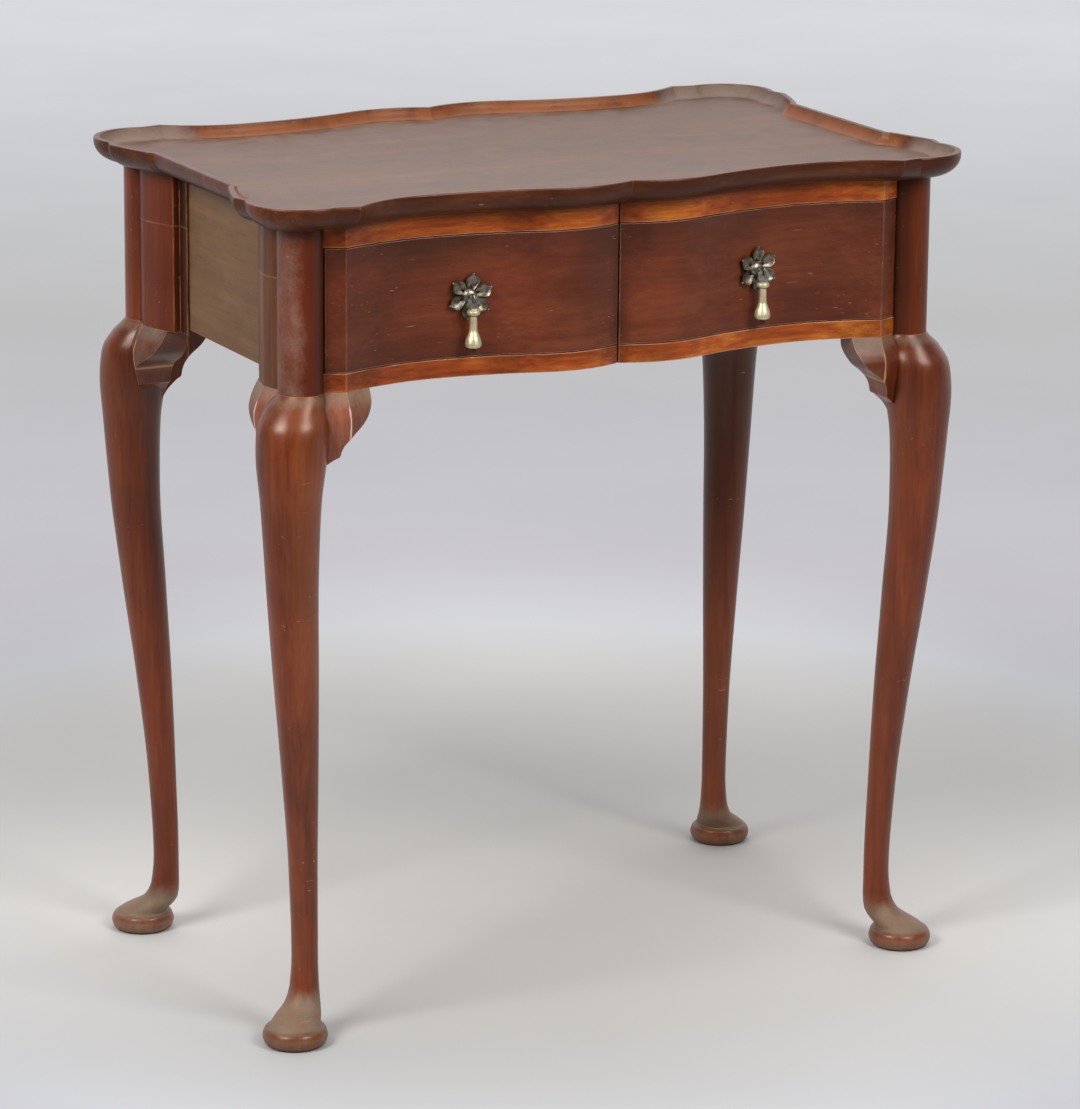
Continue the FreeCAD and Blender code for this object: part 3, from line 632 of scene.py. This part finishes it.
def scratches(nodes, place, turn, amount):
    """Fine pale scratches that lie roughly one way."""
    turned = nodes.add("Mapping", {
        "Vector": place, "Rotation": turn, "Scale": (scratch_stretch, 1.0, 1.0)})
    lines = nodes.noise(turned.outputs[0], *scratch_noise)
    cloud = nodes.noise(place, *scratch_cloud_noise)
    return nodes.times(nodes.step(lines, 0.75, 0.78), nodes.times(nodes.step(cloud, 0.52, 0.64), amount))


def wood(name, along, deep, mid, light, worn="c08a5c", dusty="877c66", roughness=0.3,
         streak=1.0, blotch=0.35, pore=0.45, edge=0.6, ior=1.45):
    """Polished wood with its grain along one axis: worn, dusty and with painted shade where the mesh is
    marked, and with painted shade in its crevices.
    """
    material, nodes, place = new_material(name)
    seed = nodes.mark("seed")
    shift = nodes.add("CombineXYZ", {
        axis: nodes.times(seed, far) for axis, far in zip("XYZ", board_offset)}).outputs[0]
    board = nodes.vector("ADD", place, shift)
    drawn, fine = (nodes.vector("MULTIPLY", board, tuple(stretch if axis == along else 1.0 for axis in "XYZ"))
                   for stretch in (grain_stretch, pore_stretch))
    bands, grain = nodes.noise(drawn, *band_noise), nodes.noise(drawn, *grain_noise)
    pores, flecks = nodes.noise(fine, *pore_noise), nodes.noise(fine, *fleck_noise)
    mottle, patch, crumb = (nodes.noise(board, *noise) for noise in (mottle_noise, patch_noise, crumb_noise))

    figure = nodes.value("ADD", nodes.times(bands, 0.62), nodes.times(grain, 0.38))
    colour = nodes.ramp(figure, [(0.36, tone(deep)), (0.5, tone(mid)), (0.66, tone(light))])
    colour = nodes.mix(streak, tone(mid), colour)
    colour = nodes.scaled(colour, nodes.step(mottle, 0.3, 0.7, 1.0 - blotch, 1.0 + 0.5 * blotch))
    pore_mask = nodes.times(nodes.step(pores, 0.6, 0.72), pore)
    wear = masked(nodes, "wear", patch, 0.9, 0.3, 0.72)
    dust = masked(nodes, "dust", tuned(nodes, patch, crumb, 0.5), 0.7, 0.15, 0.95)
    turned = nodes.add("Bevel", {"Radius": edge_reach}, samples=4).outputs["Normal"]
    facing = nodes.dot(turned, nodes.add("NewGeometry").outputs["Normal"])
    rub = nodes.times(nodes.step(facing, 0.998, 0.975), nodes.step(patch, 0.34, 0.56, 0.25, 1.0))
    # painted shade with dirt in crevices: the colour darkens where ambient occlusion finds corners and
    # meeting parts
    occlusion = nodes.add("AmbientOcclusion", {"Distance": crevice_reach}, samples=4)
    darkening = nodes.step(occlusion.outputs["AO"], 0.78, 0.38)
    pale = nodes.value("ADD", scratches(nodes, board, (0.0, 0.5, 0.3), 0.5),
                       scratches(nodes, board, (0.6, -0.9, 1.3), 0.4))
    # the wear coat also paints the tray cove's glint, the dust coat a painted sheen, and the shade coat
    # painted shade
    coats = [
        (pore_mask, pore_tone),
        (nodes.times(nodes.step(flecks, 0.70, 0.76), 0.12), fleck_tone),
        (nodes.value("MULTIPLY", nodes.mark("shade"), 0.85, clamp=True), shade_tone),
        (nodes.times(wear, 0.75), worn),
        (nodes.times(dust, 0.85), dusty),
        (nodes.times(rub, edge), worn),
        (nodes.times(darkening, 0.8), crevice_dirt_and_shade_tone),
        (nodes.value("MINIMUM", pale, 0.8), scratch_tone),
    ]
    for share, paint in coats:
        colour = nodes.mix(share, colour, tone(paint))

    rough = tuned(nodes, roughness, patch, 0.12)
    rough = nodes.value("ADD", rough, nodes.times(dust, 0.3))
    rough = nodes.value("ADD", rough, nodes.times(wear, 0.1))
    height = nodes.value("SUBTRACT", nodes.times(grain, 0.25), nodes.times(pore_mask, 0.6))
    height = nodes.value("ADD", height, nodes.times(mottle, 0.8))
    nodes.output(nodes.shaded(height, grain_depth, 0.35, {
        "Base Color": colour, "Roughness": rough, "IOR": ior, "Specular Tint": varnish_tint}))
    return material


def brass(name, bright, dull, darkening, roughness, metallic=1.0):
    """Old brass or other metal: darker in the hollows, rubbed bright here and there."""
    material, nodes, place = new_material(name)
    cloud, fine = nodes.noise(place, *tarnish_noise), nodes.noise(place, *casting_noise)
    colour = nodes.mix(nodes.step(cloud, 0.35, 0.65), tone(dull), tone(bright))
    wear = nodes.step(nodes.mark("wear"), 0.2, 0.9)
    colour = nodes.mix(nodes.times(wear, 0.7), colour, tone(bright))
    shade = nodes.step(tuned(nodes, nodes.mark("shade"), cloud, 0.7), 0.2, 0.9)
    colour = nodes.mix(shade, colour, tone(darkening))
    rough = tuned(nodes, nodes.value("ADD", roughness, nodes.times(shade, 0.3)), fine, 0.2)
    nodes.output(nodes.shaded(fine, casting_depth, 0.4, {
        "Base Color": colour, "Metallic": metallic, "Roughness": rough}))
    return material


# the tray's worn tone also paints the cove's glint, and its dusty tone the well's sheen
tray_wood = wood("tray_mahogany", "X", "3b190b", "4b2310", "643619", worn="8a4f2b", dusty="7c6b60",
                 roughness=0.34, blotch=0.2, edge=1.0, ior=1.38)
drawer_wood = wood("drawer_mahogany", "X", "4e1c0e", "672c16", "7e4123", worn="cf9f80",
                   roughness=0.42, streak=0.6, ior=1.5)
rail_wood = wood("rail_mahogany", "X", "782c0a", "a54b12", "c87828", worn="dcaa88",
                 roughness=0.38, edge=0.8, ior=1.5)
leg_wood = wood("leg_mahogany", "Z", "58200d", "702f12", "80401d", dusty="7d705c",
                roughness=0.33, blotch=0.2, pore=0.2, ior=1.56)
# the column's dusty tone is also the colour of its painted sheen
column_wood = wood("column_mahogany", "Z", "4c1c0d", "602610", "743418", dusty="8d7466",
                   roughness=0.36, streak=0.5, blotch=0.2, pore=0.25, ior=1.38)
pilaster_wood = wood("pilaster_mahogany", "Z", "4c2b19", "603922", "724528", worn="a98a70",
                     roughness=0.36, blotch=0.25, pore=0.25, ior=1.36)
side_wood = wood("side_mahogany", "Y", "5d4029", "6c4b2b", "7c5b38",
                 roughness=0.4, streak=0.6, blotch=0.15, ior=1.36)
# a lighter, dusty copy of the bracket wood that paints the light falling on the front left bracket
lit_dusty_block_wood = wood("lit_dusty_block_mahogany", "Z", "7a4230", "8e5440", "9c6650", worn="dcbcaa",
                  roughness=0.32, blotch=0.2, edge=0.25, ior=1.42)
inner_wood = wood("inner_oak", "Y", "7a5c3c", "92714b", "a9885f", roughness=0.7, pore=0.6)
inner_wood_x = wood("inner_oak_x", "X", "7a5c3c", "92714b", "a9885f", roughness=0.7, pore=0.6)
dark_brass = brass("dark_brass", "aaa08f", "65594c", "261f19", 0.4)
yellow_brass = brass("yellow_brass", "ddd2ae", "c2b58c", "3a3028", 0.42, metallic=0.65)
worn_steel = brass("worn_steel", "c9c4bc", "8d867d", "3a3530", 0.3)

# the corners' names, and how a piece of the back right quarter is flipped to each
corners = {face + "_" + side: (x, y) for face, y in (("front", -1), ("back", 1))
           for side, x in (("left", -1), ("right", 1))}


# ---- tray ----
def tray_profile():
    """Rings of the tray from its root to the well: (share of the overhang, height) pairs."""
    bowl = table_height - tray_bottom - lip_upright
    profile = [(root_share, tray_bottom)]
    for count in range(1, ovolo_steps + 1):
        turn = math.radians(90.0 / ovolo_steps * count)
        profile.append((root_share + (1 - root_share) * math.sin(turn),
                        tray_bottom + bowl * (1 - math.cos(turn))))
    profile += [(share, table_height - drop) for share, drop in outer_lip]
    inner_edge = 1 - lip_width / front_overhang
    profile += [(inner_edge + share, table_height - drop) for share, drop in inner_lip]
    for count in range(1, cove_steps + 1):
        turn = math.radians(90.0 - 90.0 / cove_steps * count)
        run = lip_width + well_wall_run * (1 - math.sin(turn))
        profile.append((1 - run / front_overhang, table_height - well_depth * math.cos(turn)))
    return profile


def build_tray():
    """The dished top: ovolo edge, lip, cove with a painted glint and dusty corners, and a well with a dusty
    film that also paints its sheen.
    """
    turns = sharp_corners(all_round(tray_quarter(1.0)))
    profile = tray_profile()
    outlines = [softened(all_round(tray_quarter(share)), turns) for share, height in profile]
    shape = Shape().rings([[(x, y, height) for x, y in outline]
                           for outline, (share, height) in zip(outlines, profile)])
    cove_start = len(profile) - cove_steps - 1
    well_start = len(profile) - 2
    for index, (x, y, z) in enumerate(shape.points):
        ring = index // len(outlines[0])
        corner = ease(abs(x), *dusty_corner_x) * ease(abs(y), *dusty_corner_y)
        # painted glint in the cove, dust in its corners, and dust with a painted sheen on the well
        if cove_start <= ring < well_start:
            shape.marks[index] = (cove_glint * (1 - corner), corner_dust * corner, 0.0)
        elif ring >= well_start:
            shape.marks[index] = (0.0, well_dust_and_sheen, 0.0)
    make("tray", shape, tray_wood, replaces=["tray_top"], crease_deg=40.0)


# ---- legs ----
def leg_ring(height, set_out, radius):
    """A level ring of the leg."""
    step = set_out / math.sqrt(2)
    x, y = column[0] + leg_plane_shift + step, column[1] - leg_plane_shift + step
    share = ease(height, frame_bottom - leg_settle, frame_bottom)
    x, y = x + (column[0] - x) * share, y + (column[1] - y) * share
    return level_ring(x, y, height, radius, leg_sides)


def leg_mark(point, dark=0.0):
    """Rubbed pad rim, dust on foot and knee, and painted shade in the column's recess, in the crease above
    the pad and high up under the frame.
    """
    x, y, z = point
    dust = pad_dust * (1 - ease(z, *pad_dust_fall)) + band(z, *foot_dust)
    dust += band(z, *knee_dust)
    recess = ease(column[0] - x, *recess_span_x) * ease(y - column[1], *recess_span_y)
    shade = recess_shade * recess * ease(z, *recess_span_z)
    return (band(z, *pad_rub), dust, max(shade, band(z, *pad_crease_shade), dark * band(z, *high_painted_shade)))


def column_mark(point, film):
    """A film of dust on the column's outer side that also paints a broad soft highlight, and painted shade in
    the recess beside the drawer.
    """
    return (0.0, film * ease(point[0] - column[0], *film_span), leg_mark(point)[2])


def build_legs():
    """Each leg with its column, and the square post behind it."""
    heights, outs, radii = zip(*leg_stations)
    levels = []
    for low, high in zip(heights, heights[1:]):
        pieces = max(2, int((high - low) / leg_row_step))
        levels += [low + (high - low) * k / pieces for k in range(pieces)]
    leg = [leg_ring(z, smooth_curve(heights, outs, z), smooth_curve(heights, radii, z)) for z in levels]
    leg += [level_ring(*column, z, radius, leg_sides) for z, radius in column_foot]
    shaft = leg[-1:] + [level_ring(*column, z, column_radius, leg_sides) for z in column_rows]
    for name, flip in corners.items():
        shape = Shape().rings(leg, lambda point: leg_mark(point, leg_painted_shade[name]))
        make("leg_turned_" + name, shape, leg_wood, replaces=["leg_" + name],
             flip=flip, crease_deg=40.0)
        shape = Shape().rings(shaft, lambda point: column_mark(point, column_dust_and_sheen[name]))
        shape.block(post_inner_x, post_cheek_x, post_inner_y, post_heel_y, frame_bottom, post_top)
        shape.block(post_cheek_x, post_outer_x, post_inner_y, column[1], frame_bottom, post_top)
        make("column_turned_" + name, shape, column_wood if "front" in name else leg_wood,
             replaces=["leg_" + name], flip=flip, crease_deg=40.0)


# ---- knee blocks ----
def block_reach(drop, full):
    """How far the bracket reaches from the column at a drop below the frame."""
    reaches = [full - set_in for set_in in ear_set_in]
    reaches.append((reaches[-1] + edge_reaches[0]) / 2 + ear_fullness)
    return smooth_curve(block_drops, reaches + edge_reaches, drop)


def swell_at(drop):
    """How far the block's face stands out at a drop below the frame."""
    return block_swell * smooth_curve(swell_drops, swell_shares, drop)


def face_out(line, along):
    """The face's distance out at a place along the plan, on straight runs between its points."""
    for (a, out_a), (b, out_b) in zip(line, line[1:]):
        if along <= b:
            return out_a + (out_b - out_a) * (along - a) / (b - a)
    return line[-1][1]


def block_marks(drop, past_ridge):
    """Dust on the block's shoulder, a rubbed ridge, and painted shade with some dust beyond it."""
    shoulder = 1 - ease(drop, *shoulder_span)
    wear = ridge_rub * (1 - ease(abs(past_ridge), *ridge_span)) * ease(drop, *ridge_drops)
    beyond = ease(past_ridge, *beyond_span)
    return (wear, max(shoulder_dust * shoulder, beyond_dust * beyond), beyond_shade * beyond)


def knee_block(full, line, ridge, back, place):
    """A bracket: a swelled face with a ridge under the arris, a flat back and a sawn edge."""
    drops = sorted(set(block_drops + [block_row_step * k for k in range(1, block_rows)]))
    rings, marks = [], []
    for drop in drops:
        reach = block_reach(drop, full)
        crest = min(ridge, reach - crest_gap)
        alongs = [-block_root + (crest + block_root) * k / face_columns for k in range(face_columns + 1)]
        alongs += [crest + (reach - crest) * k / edge_columns for k in range(1, edge_columns + 1)]
        z = frame_bottom - drop
        front = [place(along, face_out(line, along) + swell_at(drop), z) for along in alongs]
        rear = [place(along, back, z) for along in alongs]
        rings.append(front + rear[::-1])
        row = [block_marks(drop, along - ridge) for along in alongs]
        marks += row + row[::-1]
    shape = Shape().rings(rings)
    shape.mark_last(marks)
    return shape


def build_knee_blocks():
    """The brackets beside each knee, under the rail and under the pilaster."""
    rail_line = [(-block_root, rail_block_face_y), (0.0, rail_block_face_y),
                 (column[0] - facet[0], facet[1])]
    rail_line += [(column[0] - x, y) for x, y in serpentine(0.0, block_curve_steps)[:block_curve_points]]
    side_line = [(-block_root, side_block_face_x), (0.0, side_block_face_x),
                 (column[1] - side_facet[1], side_facet[0])]
    side_line += [(column[1] - y, x) for x, y in
                  arc_points(side_arris, side_sweep, side_step, block_sweep_steps)]
    rail = knee_block(rail_block_reach, rail_line, column[0] - arris[0], arris[1] - block_depth,
                      lambda along, out, z: (column[0] - along, out, z))
    side = knee_block(side_block_reach, side_line, column[1] - side_arris[1], side_arris[0] - block_depth,
                      lambda along, out, z: (out, column[1] - along, z))
    for name, flip in corners.items():
        # the front left bracket takes the wood that is dusty and painted lighter as if lit; the others take
        # the leg's wood
        material = lit_dusty_block_wood if name == "front_left" else leg_wood
        for place, shape in (("rail_", rail), ("side_", side)):
            make("bracket_" + place + name, shape, material,
                 replaces=["knee_block_" + place + name], flip=flip, bevel=block_bevel, crease_deg=18.0)


# ---- frame boards ----
def shaped_outline(end):
    """Plan of a serpentine board, from its flat side round the right end and on to the left."""
    right = end + serpentine()
    left = [(-x, y) for x, y in reversed(right)]
    return right + [(0.0, groove_mouth_y - groove_depth)] + left


def groove_shade(x):
    """Painted shade towards the centre groove."""
    return groove_painted_shade * (1 - ease(abs(x), *groove_span))


def rail_mark(point):
    """Painted shade in the rail's centre groove."""
    return (0.0, 0.0, groove_shade(point[0]))


def pilaster_mark(point):
    """Painted shade on the narrow strip in the recess beside the side board."""
    return (0.0, 0.0, strip_painted_shade if point[0] < strip_x + 0.1 else 0.0)


def drawer_mark(point):
    """Painted shadow under the top rail, dirt above the lower rail and painted shade in the centre groove."""
    x, y, z = point
    high = ceiling_painted_shadow * ease(z, *ceiling_span)
    low = floor_grime * (1 - ease(z, *floor_span))
    return (0.0, 0.0, max(high, low, groove_shade(x)))


def build_boards():
    """Rails, back board, side boards and pilasters."""
    post_line = [(post_inner_x, post_heel_y), (post_cheek_x, post_heel_y)] + board_lip
    rail = shaped_outline([(post_inner_x, rail_back_y)] + post_line)
    apron = shaped_outline([(post_inner_x, apron_inner_y)] + post_line)
    for name, low, high in (("top_rail", drawer_ceiling, tray_bottom),
                            ("lower_rail", frame_bottom, drawer_floor)):
        make("shaped_" + name, Shape().prism(rail, low, high, rail_mark, levels=3), rail_wood,
             replaces=["front_" + name], flip=(1, -1), bevel=board_bevel)
    make("shaped_back", Shape().prism(apron, frame_bottom, tray_bottom), drawer_wood,
         replaces=["back_apron"], bevel=board_bevel)
    for side, sign in (("left", -1), ("right", 1)):
        shape = Shape().block(side_board_x - side_board_thick, side_board_x, -post_inner_y, post_inner_y,
                              side_board_low, tray_bottom)
        make("board_" + side, shape, side_wood, replaces=["side_board_" + side],
             flip=(sign, 1), bevel=board_bevel)
    outline = arc_points(side_step, side_sweep, side_arris, sweep_steps) + [side_facet] + pilaster_heel
    outline += [(side_board_x, strip_end_y), (strip_x, strip_end_y), (strip_x, side_step[1])]
    for name, flip in corners.items():
        for level, low, high in (("upper_", pilaster_joint, tray_bottom),
                                 ("lower_", frame_bottom, pilaster_joint)):
            make("pilaster_" + level + "facing_" + name, Shape().prism(outline, low, high, pilaster_mark),
                 pilaster_wood if "front" in name else column_wood,
                 replaces=["pilaster_" + level + name], flip=flip, bevel=board_bevel)


def build_drawer_front():
    """The serpentine drawer front."""
    outline = shaped_outline([(facet[0], drawer_front_back_y)] + drawer_lip)
    shape = Shape().prism(outline, drawer_floor + drawer_gap, drawer_ceiling - drawer_gap,
                          drawer_mark, levels=16)
    make("drawer_face", shape, drawer_wood, body="drawer", replaces=["drawer_front"],
         flip=(1, -1), bevel=board_bevel)


# ---- pulls ----
def pull_matrix(side):
    """From the pull's own frame, in metres and facing -Y, to its seat on the drawer."""
    seat = Matrix.Translation((side * pull_x * MM, -pull_face_y * MM, pull_z * MM))
    return seat @ Matrix.Rotation(math.radians(pull_turn_deg) * side, 4, "Z")


def lathe(profile, sides=40):
    """Rings about the Z axis from (radius, height) pairs."""
    return [level_ring(0.0, 0.0, height, radius, sides) for radius, height in profile]


def lathe_forward(profile, sides=40):
    """Turned rings whose axis points forward, out of the drawer."""
    turn = Matrix.Rotation(math.radians(90), 4, "X")
    return [[tuple(turn @ Vector(point)) for point in ring] for ring in lathe(profile, sides)]


def smooth_profile(pairs, count):
    """A smooth turned profile through (radius, height) pairs."""
    radii, heights = zip(*pairs)
    levels = [heights[0] + (heights[-1] - heights[0]) * k / count for k in range(count + 1)]
    return [(smooth_curve(heights, radii, z), z) for z in levels]


def petal(shape, turn_deg):
    """One cupped, pointed petal with a small ball at its tip, as a closed skin."""
    turn = Matrix.Rotation(math.radians(turn_deg), 3, "Y")
    rings, marks = [], []
    for row in range(petal_rows + 1):
        v = row / petal_rows
        half = smooth_curve(petal_shares, petal_half_widths, v)
        z = petal_root_z + petal_length * v
        root = 1 - ease(v, *petal_root_span)
        under, top, line = [], [], []
        for place in range(petal_columns + 1):
            u = 2 * place / petal_columns - 1
            cup = petal_seat + petal_cup * half * u * u + petal_rise * v ** petal_rise_power
            cup += petal_rim * ease(abs(u), *rim_span)
            height = z - petal_bow * u * u * (1 - v)
            under.append((half * u, -cup, height))
            top.append((half * u, -(cup + petal_thick), height))
            rim = ease(abs(u), *bright_rim_span)
            line.append((rim, 0.0, max(petal_grime * (1 - rim), petal_root_grime * root * (1 - rim))))
        rings.append([tuple(turn @ Vector(point)) for point in under + top[::-1]])
        marks += line + line[::-1]
    shape.rings(rings)
    shape.mark_last(marks)
    tip = turn @ Vector(petal_tip)
    angles = [math.pi * k / ball_steps for k in range(ball_steps + 1)]
    ball = lathe([(ball_radius * math.sin(angle) + pole_radius, -ball_radius * math.cos(angle))
                  for angle in angles], ball_sides)
    shape.rings([[(x + tip.x, y + tip.y, z + tip.z) for x, y, z in ring] for ring in ball],
                lambda point: (ball_rub, 0.0, 0.0))


def dome_mark(point):
    """A rubbed top and a dirty foot."""
    out = -point[1]
    darkening = dome_grime * (1 - ease(out, *dome_grime_span))
    return (ease(out, *dome_rub_span) * dome_rub, 0.0, darkening)


def rose(turn_deg):
    """Six petals on a dark plate, with a dome in the middle."""
    shape = Shape()
    for count in range(petal_count):
        petal(shape, 360.0 / petal_count * count + turn_deg)
    shape.rings(lathe_forward(dome_profile), dome_mark)
    return shape.rings(lathe_forward(rose_plate_profile), lambda point: (0.0, 0.0, plate_grime))


def eye_bolt():
    """A bolt with the wire eye that carries the drop."""
    shape = Shape().rings(lathe_forward(shank_profile, shank_sides))
    rings = []
    for across, up in circle(eye_rows):
        y, z = eye_radius * across, eye_radius * up
        centre, out = Vector((0.0, y - eye_stand_off, z)), Vector((0.0, y, z)).normalized()
        rings.append([tuple(centre + eye_wire_radius * (a * out + b * Vector((1, 0, 0))))
                      for a, b in circle(wire_sides)])
    rings.append(rings[0])
    return shape.rings(rings, lambda point: (cast_rub, 0.0, 0.0), caps=False)


def tab():
    """The flat tab with its rounded square outline and the hole that the eye runs in."""
    outer, inner = [], []
    for across, up in circle(tab_sides):
        outer.append((tab_half_width * math.copysign(abs(across) ** (2 / tab_squareness), across),
                      tab_middle_z + tab_half_width * math.copysign(abs(up) ** (2 / tab_squareness), up)))
        inner.append((tab_hole_radius * across, tab_hole_z + tab_hole_radius * up))
    layers = [[(x, offset - eye_stand_off, z) for x, z in ring]
              for offset, ring in ((-tab_half_thick, inner), (-tab_half_thick, outer),
                                   (tab_half_thick, outer), (tab_half_thick, inner))]
    return Shape().rings(layers + layers[:1], lambda point: (0.0, 0.0, tab_grime), caps=False)


def pear_mark(point):
    """Rubbed brass, with dirt on the finial and about the neck."""
    finial = finial_grime * (1 - ease(point[2], *finial_span))
    return (cast_rub, 0.0, finial + band(point[2], *neck_grime))


def pear():
    """The turned drop below the tab: collar, neck, pear and finial."""
    rings = lathe(smooth_profile(drop_profile, drop_rows))
    return Shape().rings([[(x, y - eye_stand_off, z) for x, y, z in ring] for ring in rings], pear_mark)


def build_pulls():
    """Roses, bolts with their eyes, and the hanging drops."""
    roses, bolts = Shape(), Shape()
    for sign, label in ((-1, "left"), (1, "right")):
        seat = pull_matrix(sign)
        seat_mm = Matrix.Diagonal((1 / MM,) * 3 + (1,)) @ seat @ Matrix.Diagonal((MM,) * 3 + (1,))
        roses.join(rose(rose_turn_deg[label]), seat_mm)
        bolts.join(eye_bolt(), seat_mm)
        for part, shape, metal in (("_tab", tab(), worn_steel), ("_cast", pear(), yellow_brass)):
            make("drop_" + label + part, shape, metal, body="drop_" + label,
                 replaces=["pull_drop_" + label], matrix=seat, crease_deg=50.0, bevel=pull_bevel)
    make("roses_cast", roses, dark_brass, body="drawer", replaces=["pull_roses"],
         crease_deg=60.0)
    make("eyes_and_bolts", bolts, dark_brass, body="drawer", replaces=["pull_posts"],
         crease_deg=50.0)


def finish_inner_parts():
    """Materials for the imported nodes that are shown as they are."""
    for name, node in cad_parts.items():
        if node.hide_render:
            continue
        if name == "pull_nuts":
            material = yellow_brass
        elif name in ("drawer_back", "drawer_bottom", "drawer_stops", "glue_blocks"):
            material = inner_wood_x
        else:
            material = inner_wood
        node.data.materials.clear()
        node.data.materials.append(material)


build_tray()
build_legs()
build_knee_blocks()
build_boards()
build_drawer_front()
build_pulls()
finish_inner_parts()


# ---- floor, light and camera ----
def build_floor():
    """A plain pale floor whose tone changes softly with the distance from the table: darker under it as a
    painted shadow, painted lighter and darker round about to even out the lamps, and glowing further off.
    """
    mesh = bpy.data.meshes.new("floor")
    mesh.from_pydata([(x * floor_size, y * floor_size, 0) for x, y in ((-1, -1), (1, -1), (1, 1), (-1, 1))],
                     [], [(0, 1, 2, 3)])
    floor = add_object("floor", mesh)
    material, nodes, place = new_material("floor_paint")
    away = nodes.vector("DISTANCE", place, floor_centre, "Value")
    share = nodes.value("DIVIDE", away, floor_reach)
    colour = nodes.ramp(share, [(distance / floor_reach, tone(paint)) for distance, paint in floor_tones])
    ahead = nodes.dot(place, towards_camera)
    front = nodes.step(ahead, front_start, front_full)
    colour = nodes.mix(front, colour, tone(front_tone))
    cloud = nodes.noise(place, *floor_cloud_noise)
    colour = nodes.scaled(colour, nodes.step(cloud, 0.3, 0.7, 0.985, 1.015))
    # painted light and shade: lighter from behind the table forwards, darker far in front and at the sides
    level = nodes.times(nodes.step(ahead, *painted_light_towards_front), nodes.step(ahead, *painted_shade_in_front))
    sideways = nodes.value("ABSOLUTE", nodes.dot(place, across_view))
    level = nodes.times(level, nodes.step(sideways, *painted_shade_at_sides))
    painted = nodes.shaded(nodes.noise(place, *floor_grit_noise), grit_depth, 0.2, {
        "Base Color": nodes.scaled(colour, level), "Roughness": 0.75})
    # the far floor glows for camera, glossy and transmission rays, an emission that stands in for a lit
    # backdrop
    plain = nodes.add("Emission", {"Color": colour})
    ray = nodes.add("LightPath").outputs
    seen = nodes.value("ADD", ray["Is Camera Ray"], ray["Is Glossy Ray"])
    seen = nodes.value("ADD", seen, ray["Is Transmission Ray"], clamp=True)
    glow = nodes.times(nodes.step(away, glow_start, glow_full), nodes.value("SUBTRACT", 1.0, front))
    far = nodes.times(glow, seen)
    shader = nodes.add("MixShader", {0: far, 1: painted, 2: plain.outputs[0]})
    nodes.output(shader.outputs[0])
    mesh.materials.append(material)


def build_lights():
    """A square soft box on either side of the camera, a wide one overhead, and a pale room."""
    for name, place, target, size, power in lamps:
        data = bpy.data.lights.new(name, "AREA")
        data.shape = "SQUARE"
        data.size = size
        data.energy = power
        lamp = add_object(name, data)
        lamp.location = place
        lamp.rotation_mode = "QUATERNION"
        lamp.rotation_quaternion = (Vector(target) - Vector(place)).to_track_quat("-Z", "Y")
    world = bpy.data.worlds.new("room")
    bpy.context.scene.world = world
    nodes = Nodes(world)
    ahead = nodes.dot(nodes.add("TexCoord").outputs["Generated"], room_ahead)
    strength = nodes.step(ahead, *room_span, *room_strengths)
    sky = nodes.add("Background", {"Color": room_colour, "Strength": strength})
    nodes.add("OutputWorld", {"Surface": sky.outputs[0]})


def build_camera():
    """The camera: direction and distance from a point in the table, lens and image shift."""
    azimuth, elevation = math.radians(camera_azimuth), math.radians(camera_elevation)
    back = Vector((math.sin(azimuth) * math.cos(elevation), -math.cos(azimuth) * math.cos(elevation),
                   math.sin(elevation)))
    roll = Matrix.Rotation(math.radians(camera_roll), 3, "Z").to_quaternion()
    data = bpy.data.cameras.new("camera")
    camera = add_object("camera", data)
    data.sensor_width = sensor_width
    data.lens = focal_length * sensor_width / picture_height
    data.shift_x = -(picture_centre[0] - picture_width / 2) / picture_height
    data.shift_y = (picture_centre[1] - picture_height / 2) / picture_height
    data.clip_end = 100.0
    camera.rotation_mode = "QUATERNION"
    camera.location = Vector(camera_target) + back * camera_distance
    camera.rotation_quaternion = (-back).to_track_quat("-Z", "Y") @ roll
    bpy.context.scene.camera = camera


build_floor()
build_lights()
build_camera()
bpy.context.scene.view_settings.view_transform = "Standard"
